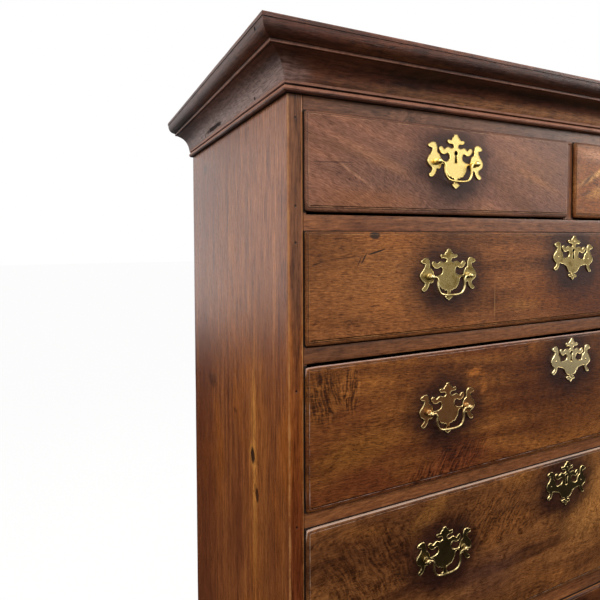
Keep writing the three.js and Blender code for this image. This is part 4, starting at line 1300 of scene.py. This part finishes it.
def buildLowerCase():
    case = {"reveal": 1.5, "board": 22, "post": 46, "gap": 0.3, "partition": 20, "runner": 24, "rise": 20,
            "deepSill": 602, "shallowSill": 687, "end": 10, "centreHalf": 176, "joint": 0.5}
    reveal, board, post, gap, partition, runner, rise, deepSill, shallowSill, end, centre, joint = (
        size * mm for size in case.values())
    low, high = lowerLow, lowerHigh
    outer, inner = high.x, high.x - board
    postX = (outer + reveal) - post
    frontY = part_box("lower_front")[0].y - reveal
    sideFront, sideBack = frontY + (post + gap), backY - (post + gap)
    shell = newShell()
    for sign in hand.values():
        corners = mirrored(sign, (inner, sideFront, low.z), (outer, sideBack, high.z))
        addBoard(shell, *corners, "yzx", 70 + sign, soft=0.001)
    makePiece(shell, "lowerSides", finishes["lower"], "case", ["lower_case"])

    shell = newShell()
    frontInner, rearInner = frontY + (reveal + board + gap), backY - (reveal + board)
    clear = postX - gap
    middle = (low.z + high.z) / 2
    for i, (foot, top) in enumerate(((low.z, middle - joint), (middle + joint, high.z))):
        addBoard(shell, (-clear, rearInner, foot), (clear, backY - reveal, top), "xzy", 75 + i, soft=0.001)
    deepFoot = deepSill - rise
    wall = centre + partition
    pieces = [
        (centre, wall, deepFoot, high.z - rise), (wall, wall + runner, deepFoot, deepSill),
        (centre - runner, centre, shallowSill - rise, shallowSill),
        (postX - (end + runner), clear, deepFoot, deepSill),
    ]
    for sign in hand.values():
        for i, (near, far, foot, top) in enumerate(pieces):
            corners = mirrored(sign, (near, frontInner, foot), (far, rearInner, top))
            addBoard(shell, *corners, "yzx", 80 + i + sign)
        corners = mirrored(sign, (clear, sideFront, deepFoot), (inner, sideBack, deepSill))
        addBoard(shell, *corners, "yzx", 86 + sign)
    makePiece(shell, "lowerInside", finishes["bare"], "case")


def outlineThrough(*corners):    # a straight-sided outline, each corner with the count of steps to the next
    points = []
    for (x, z, count), (nextX, nextZ, _) in zip(corners, corners[1:] + corners[:1]):
        points += [(x + (nextX - x) * i / count, z + (nextZ - z) * i / count) for i in range(count)]
    return points


def buildLowerFront():
    apron = {"foot": 470 * mm, "arch": 587 * mm, "soft": 1.2 * mm, "top": 40, "side": 12}
    low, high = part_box("lower_front")
    half = high.x
    shares = [
        (1, 0), (0.955, 0.02), (0.92, 0.2), (0.87, 0.42), (0.8, 0.5), (0.62, 0.5), (0.53, 0.42),
        (0.475, 0.22), (0.42, 0.12), (0.365, 0.24), (0.335, 0.6), (0.27, 0.9), (0.19, 1), (0, 1),
    ]
    rise = apron["arch"] - apron["foot"]
    curve = smoothPath([(x * half, apron["foot"] + z * rise) for x, z in shares], 6)
    curve = [(p.x, min(max(p.y, low.z), apron["arch"])) for p in curve]
    top = [(half * (2 * i / apron["top"] - 1), high.z) for i in range(apron["top"] + 1)]
    side = [(half, high.z + (low.z - high.z) * i / apron["side"]) for i in range(1, apron["side"])]
    outline = top + side + curve + [(-x, z) for x, z in reversed(side + curve[:-1])]
    holes = []
    for name in frontNames("lower"):
        lipLow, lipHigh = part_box(name + "_front")
        left, foot = lipLow.x + lipOverlap, lipLow.z + lipOverlap
        right, head = lipHigh.x - lipOverlap, lipHigh.z - lipOverlap
        holes.append(outlineThrough((left, foot, 14), (right, foot, 8), (right, head, 14), (left, head, 8)))
    layers = [(apron["soft"], high.y, 0.3), (0, high.y - apron["soft"], 0.5), (0, low.y + 0.8 * mm, 1),
              (0.25 * mm, low.y + 0.25 * mm, 1), (0.8 * mm, low.y, 0.5), (5 * mm, low.y, 0)]
    shell = newShell()
    addSheet(shell, outline, holes, layers, "xzy", 91)
    makePiece(shell, "apronAndRails", finishes["lower"], "case", ["lower_front"], sharp=35)


def legRows(leg):                # height, reach from the post, half width and squareness, from the top down
    halfPost = leg["post"] / 2
    spans = [(1, 0, 1, 1), (0.94, 0.62, 0.8, 1), (0.85, 1, 0.55, 0.92), (0.74, 0.75, 0.4, 0.74),
             (0.62, 0.2, 0.25, 0.54), (0.47, -0.42, 0.12, 0.32), (0.32, -0.86, 0, 0.14), (0.2, -0.95, 0, 0),
             (0.13, -0.72, 0, 0.1)]
    pads = [(0.095, -0.2, 0.6), (0.065, 0.55, 0.86), (0.04, 0.9, 1), (0.018, 0.86, 0.96), (0, 0.45, 0.78)]
    table = []
    for i, (height, reach, square, taper) in enumerate(spans):
        wide = halfPost if i == 0 else leg["ankle"] + (leg["knee"] - leg["ankle"]) * taper
        table.append((height * leg["foot"], reach * leg["kneeOut"], wide, square))
    for height, reach, radius in pads:
        table.append((height * leg["foot"], reach * leg["kneeOut"], radius * leg["pad"], 0))
    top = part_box("leg_front_left")[1].z / mm
    rows = [(top, 0, halfPost - 0.4, 1), (top - 0.5, 0, halfPost, 1)]
    rows += [(leg["foot"] + rise, 0, halfPost, 1) for rise in (300, 250, 200, 150, 100, 50, 25)]
    last = len(table) - 1
    for i in range(last):
        around = [table[min(max(j, 0), last)] for j in range(i - 1, i + 3)]
        steps = 5 if i < 8 else 4
        rows += [blendRow(around, step / steps) for step in range(steps)]
    return rows + [table[-1]]


def buildLegs():
    leg = {"post": 46, "foot": 470, "kneeOut": 24, "knee": 33, "ankle": 15, "pad": 38, "soft": 0.7,
           "out": 22 * mm}
    halfPost = leg["post"] / 2
    rows = legRows(leg)
    tangents = (-1, -0.96, -0.8, -0.55, -0.28, 0, 0.28, 0.55, 0.8, 0.96)
    for end, sense in (("front", -1), ("back", 1)):
        for side, sign in hand.items():
            node = f"leg_{end}_{side}"
            low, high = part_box(node)
            centreX = sign * (caseHalf + leg["out"] - halfPost * mm)
            centreY = (faceY - leg["out"] + halfPost * mm) if end == "front" else backY - halfPost * mm
            rings, edges = [], []
            for z, reach, wide, square in rows:
                middle = halfPost + reach - wide
                ring, edge = [], []
                for quarter in range(4):
                    for tangent in tangents:
                        angle = quarter * math.pi / 2 + math.atan(tangent)
                        corner = 1 / math.cos(math.atan(tangent))
                        radius = wide * (1 + (corner - 1) * square)
                        radius -= leg["soft"] * square if tangent == -1 else 0
                        x = centreX + sign * (middle + radius * math.cos(angle)) * mm
                        y = centreY + sense * (middle + radius * math.sin(angle)) * mm
                        ring.append((min(max(x, low.x), high.x), min(max(y, low.y), high.y), max(0, z * mm)))
                        edge.append(square if abs(tangent) > 0.9 else 0.2 * (z < 60))
                rings.append(ring)
                edges.append(edge)
            shell = newShell()
            addRings(shell, rings, edges, "zxy", 95 + sign + 2 * sense)
            piece = f"{end}{side.capitalize()}Leg"
            makePiece(shell, piece, finishes["lower"], "case", [node], sharp=35)


def blendRow(around, t):         # one row of a leg's table, between the two middle rows
    row = [between(*values, t) for values in zip(*around)]
    row[3] = min(1, max(0, row[3]))
    return tuple(row)


finishes["lower"] = lowerWalnut()
buildMouldings()
print("mouldings built")
buildDrawers()
print("drawers and brasses built")
buildLowerCase()
buildLowerFront()
buildLegs()
print("lower case and legs built")
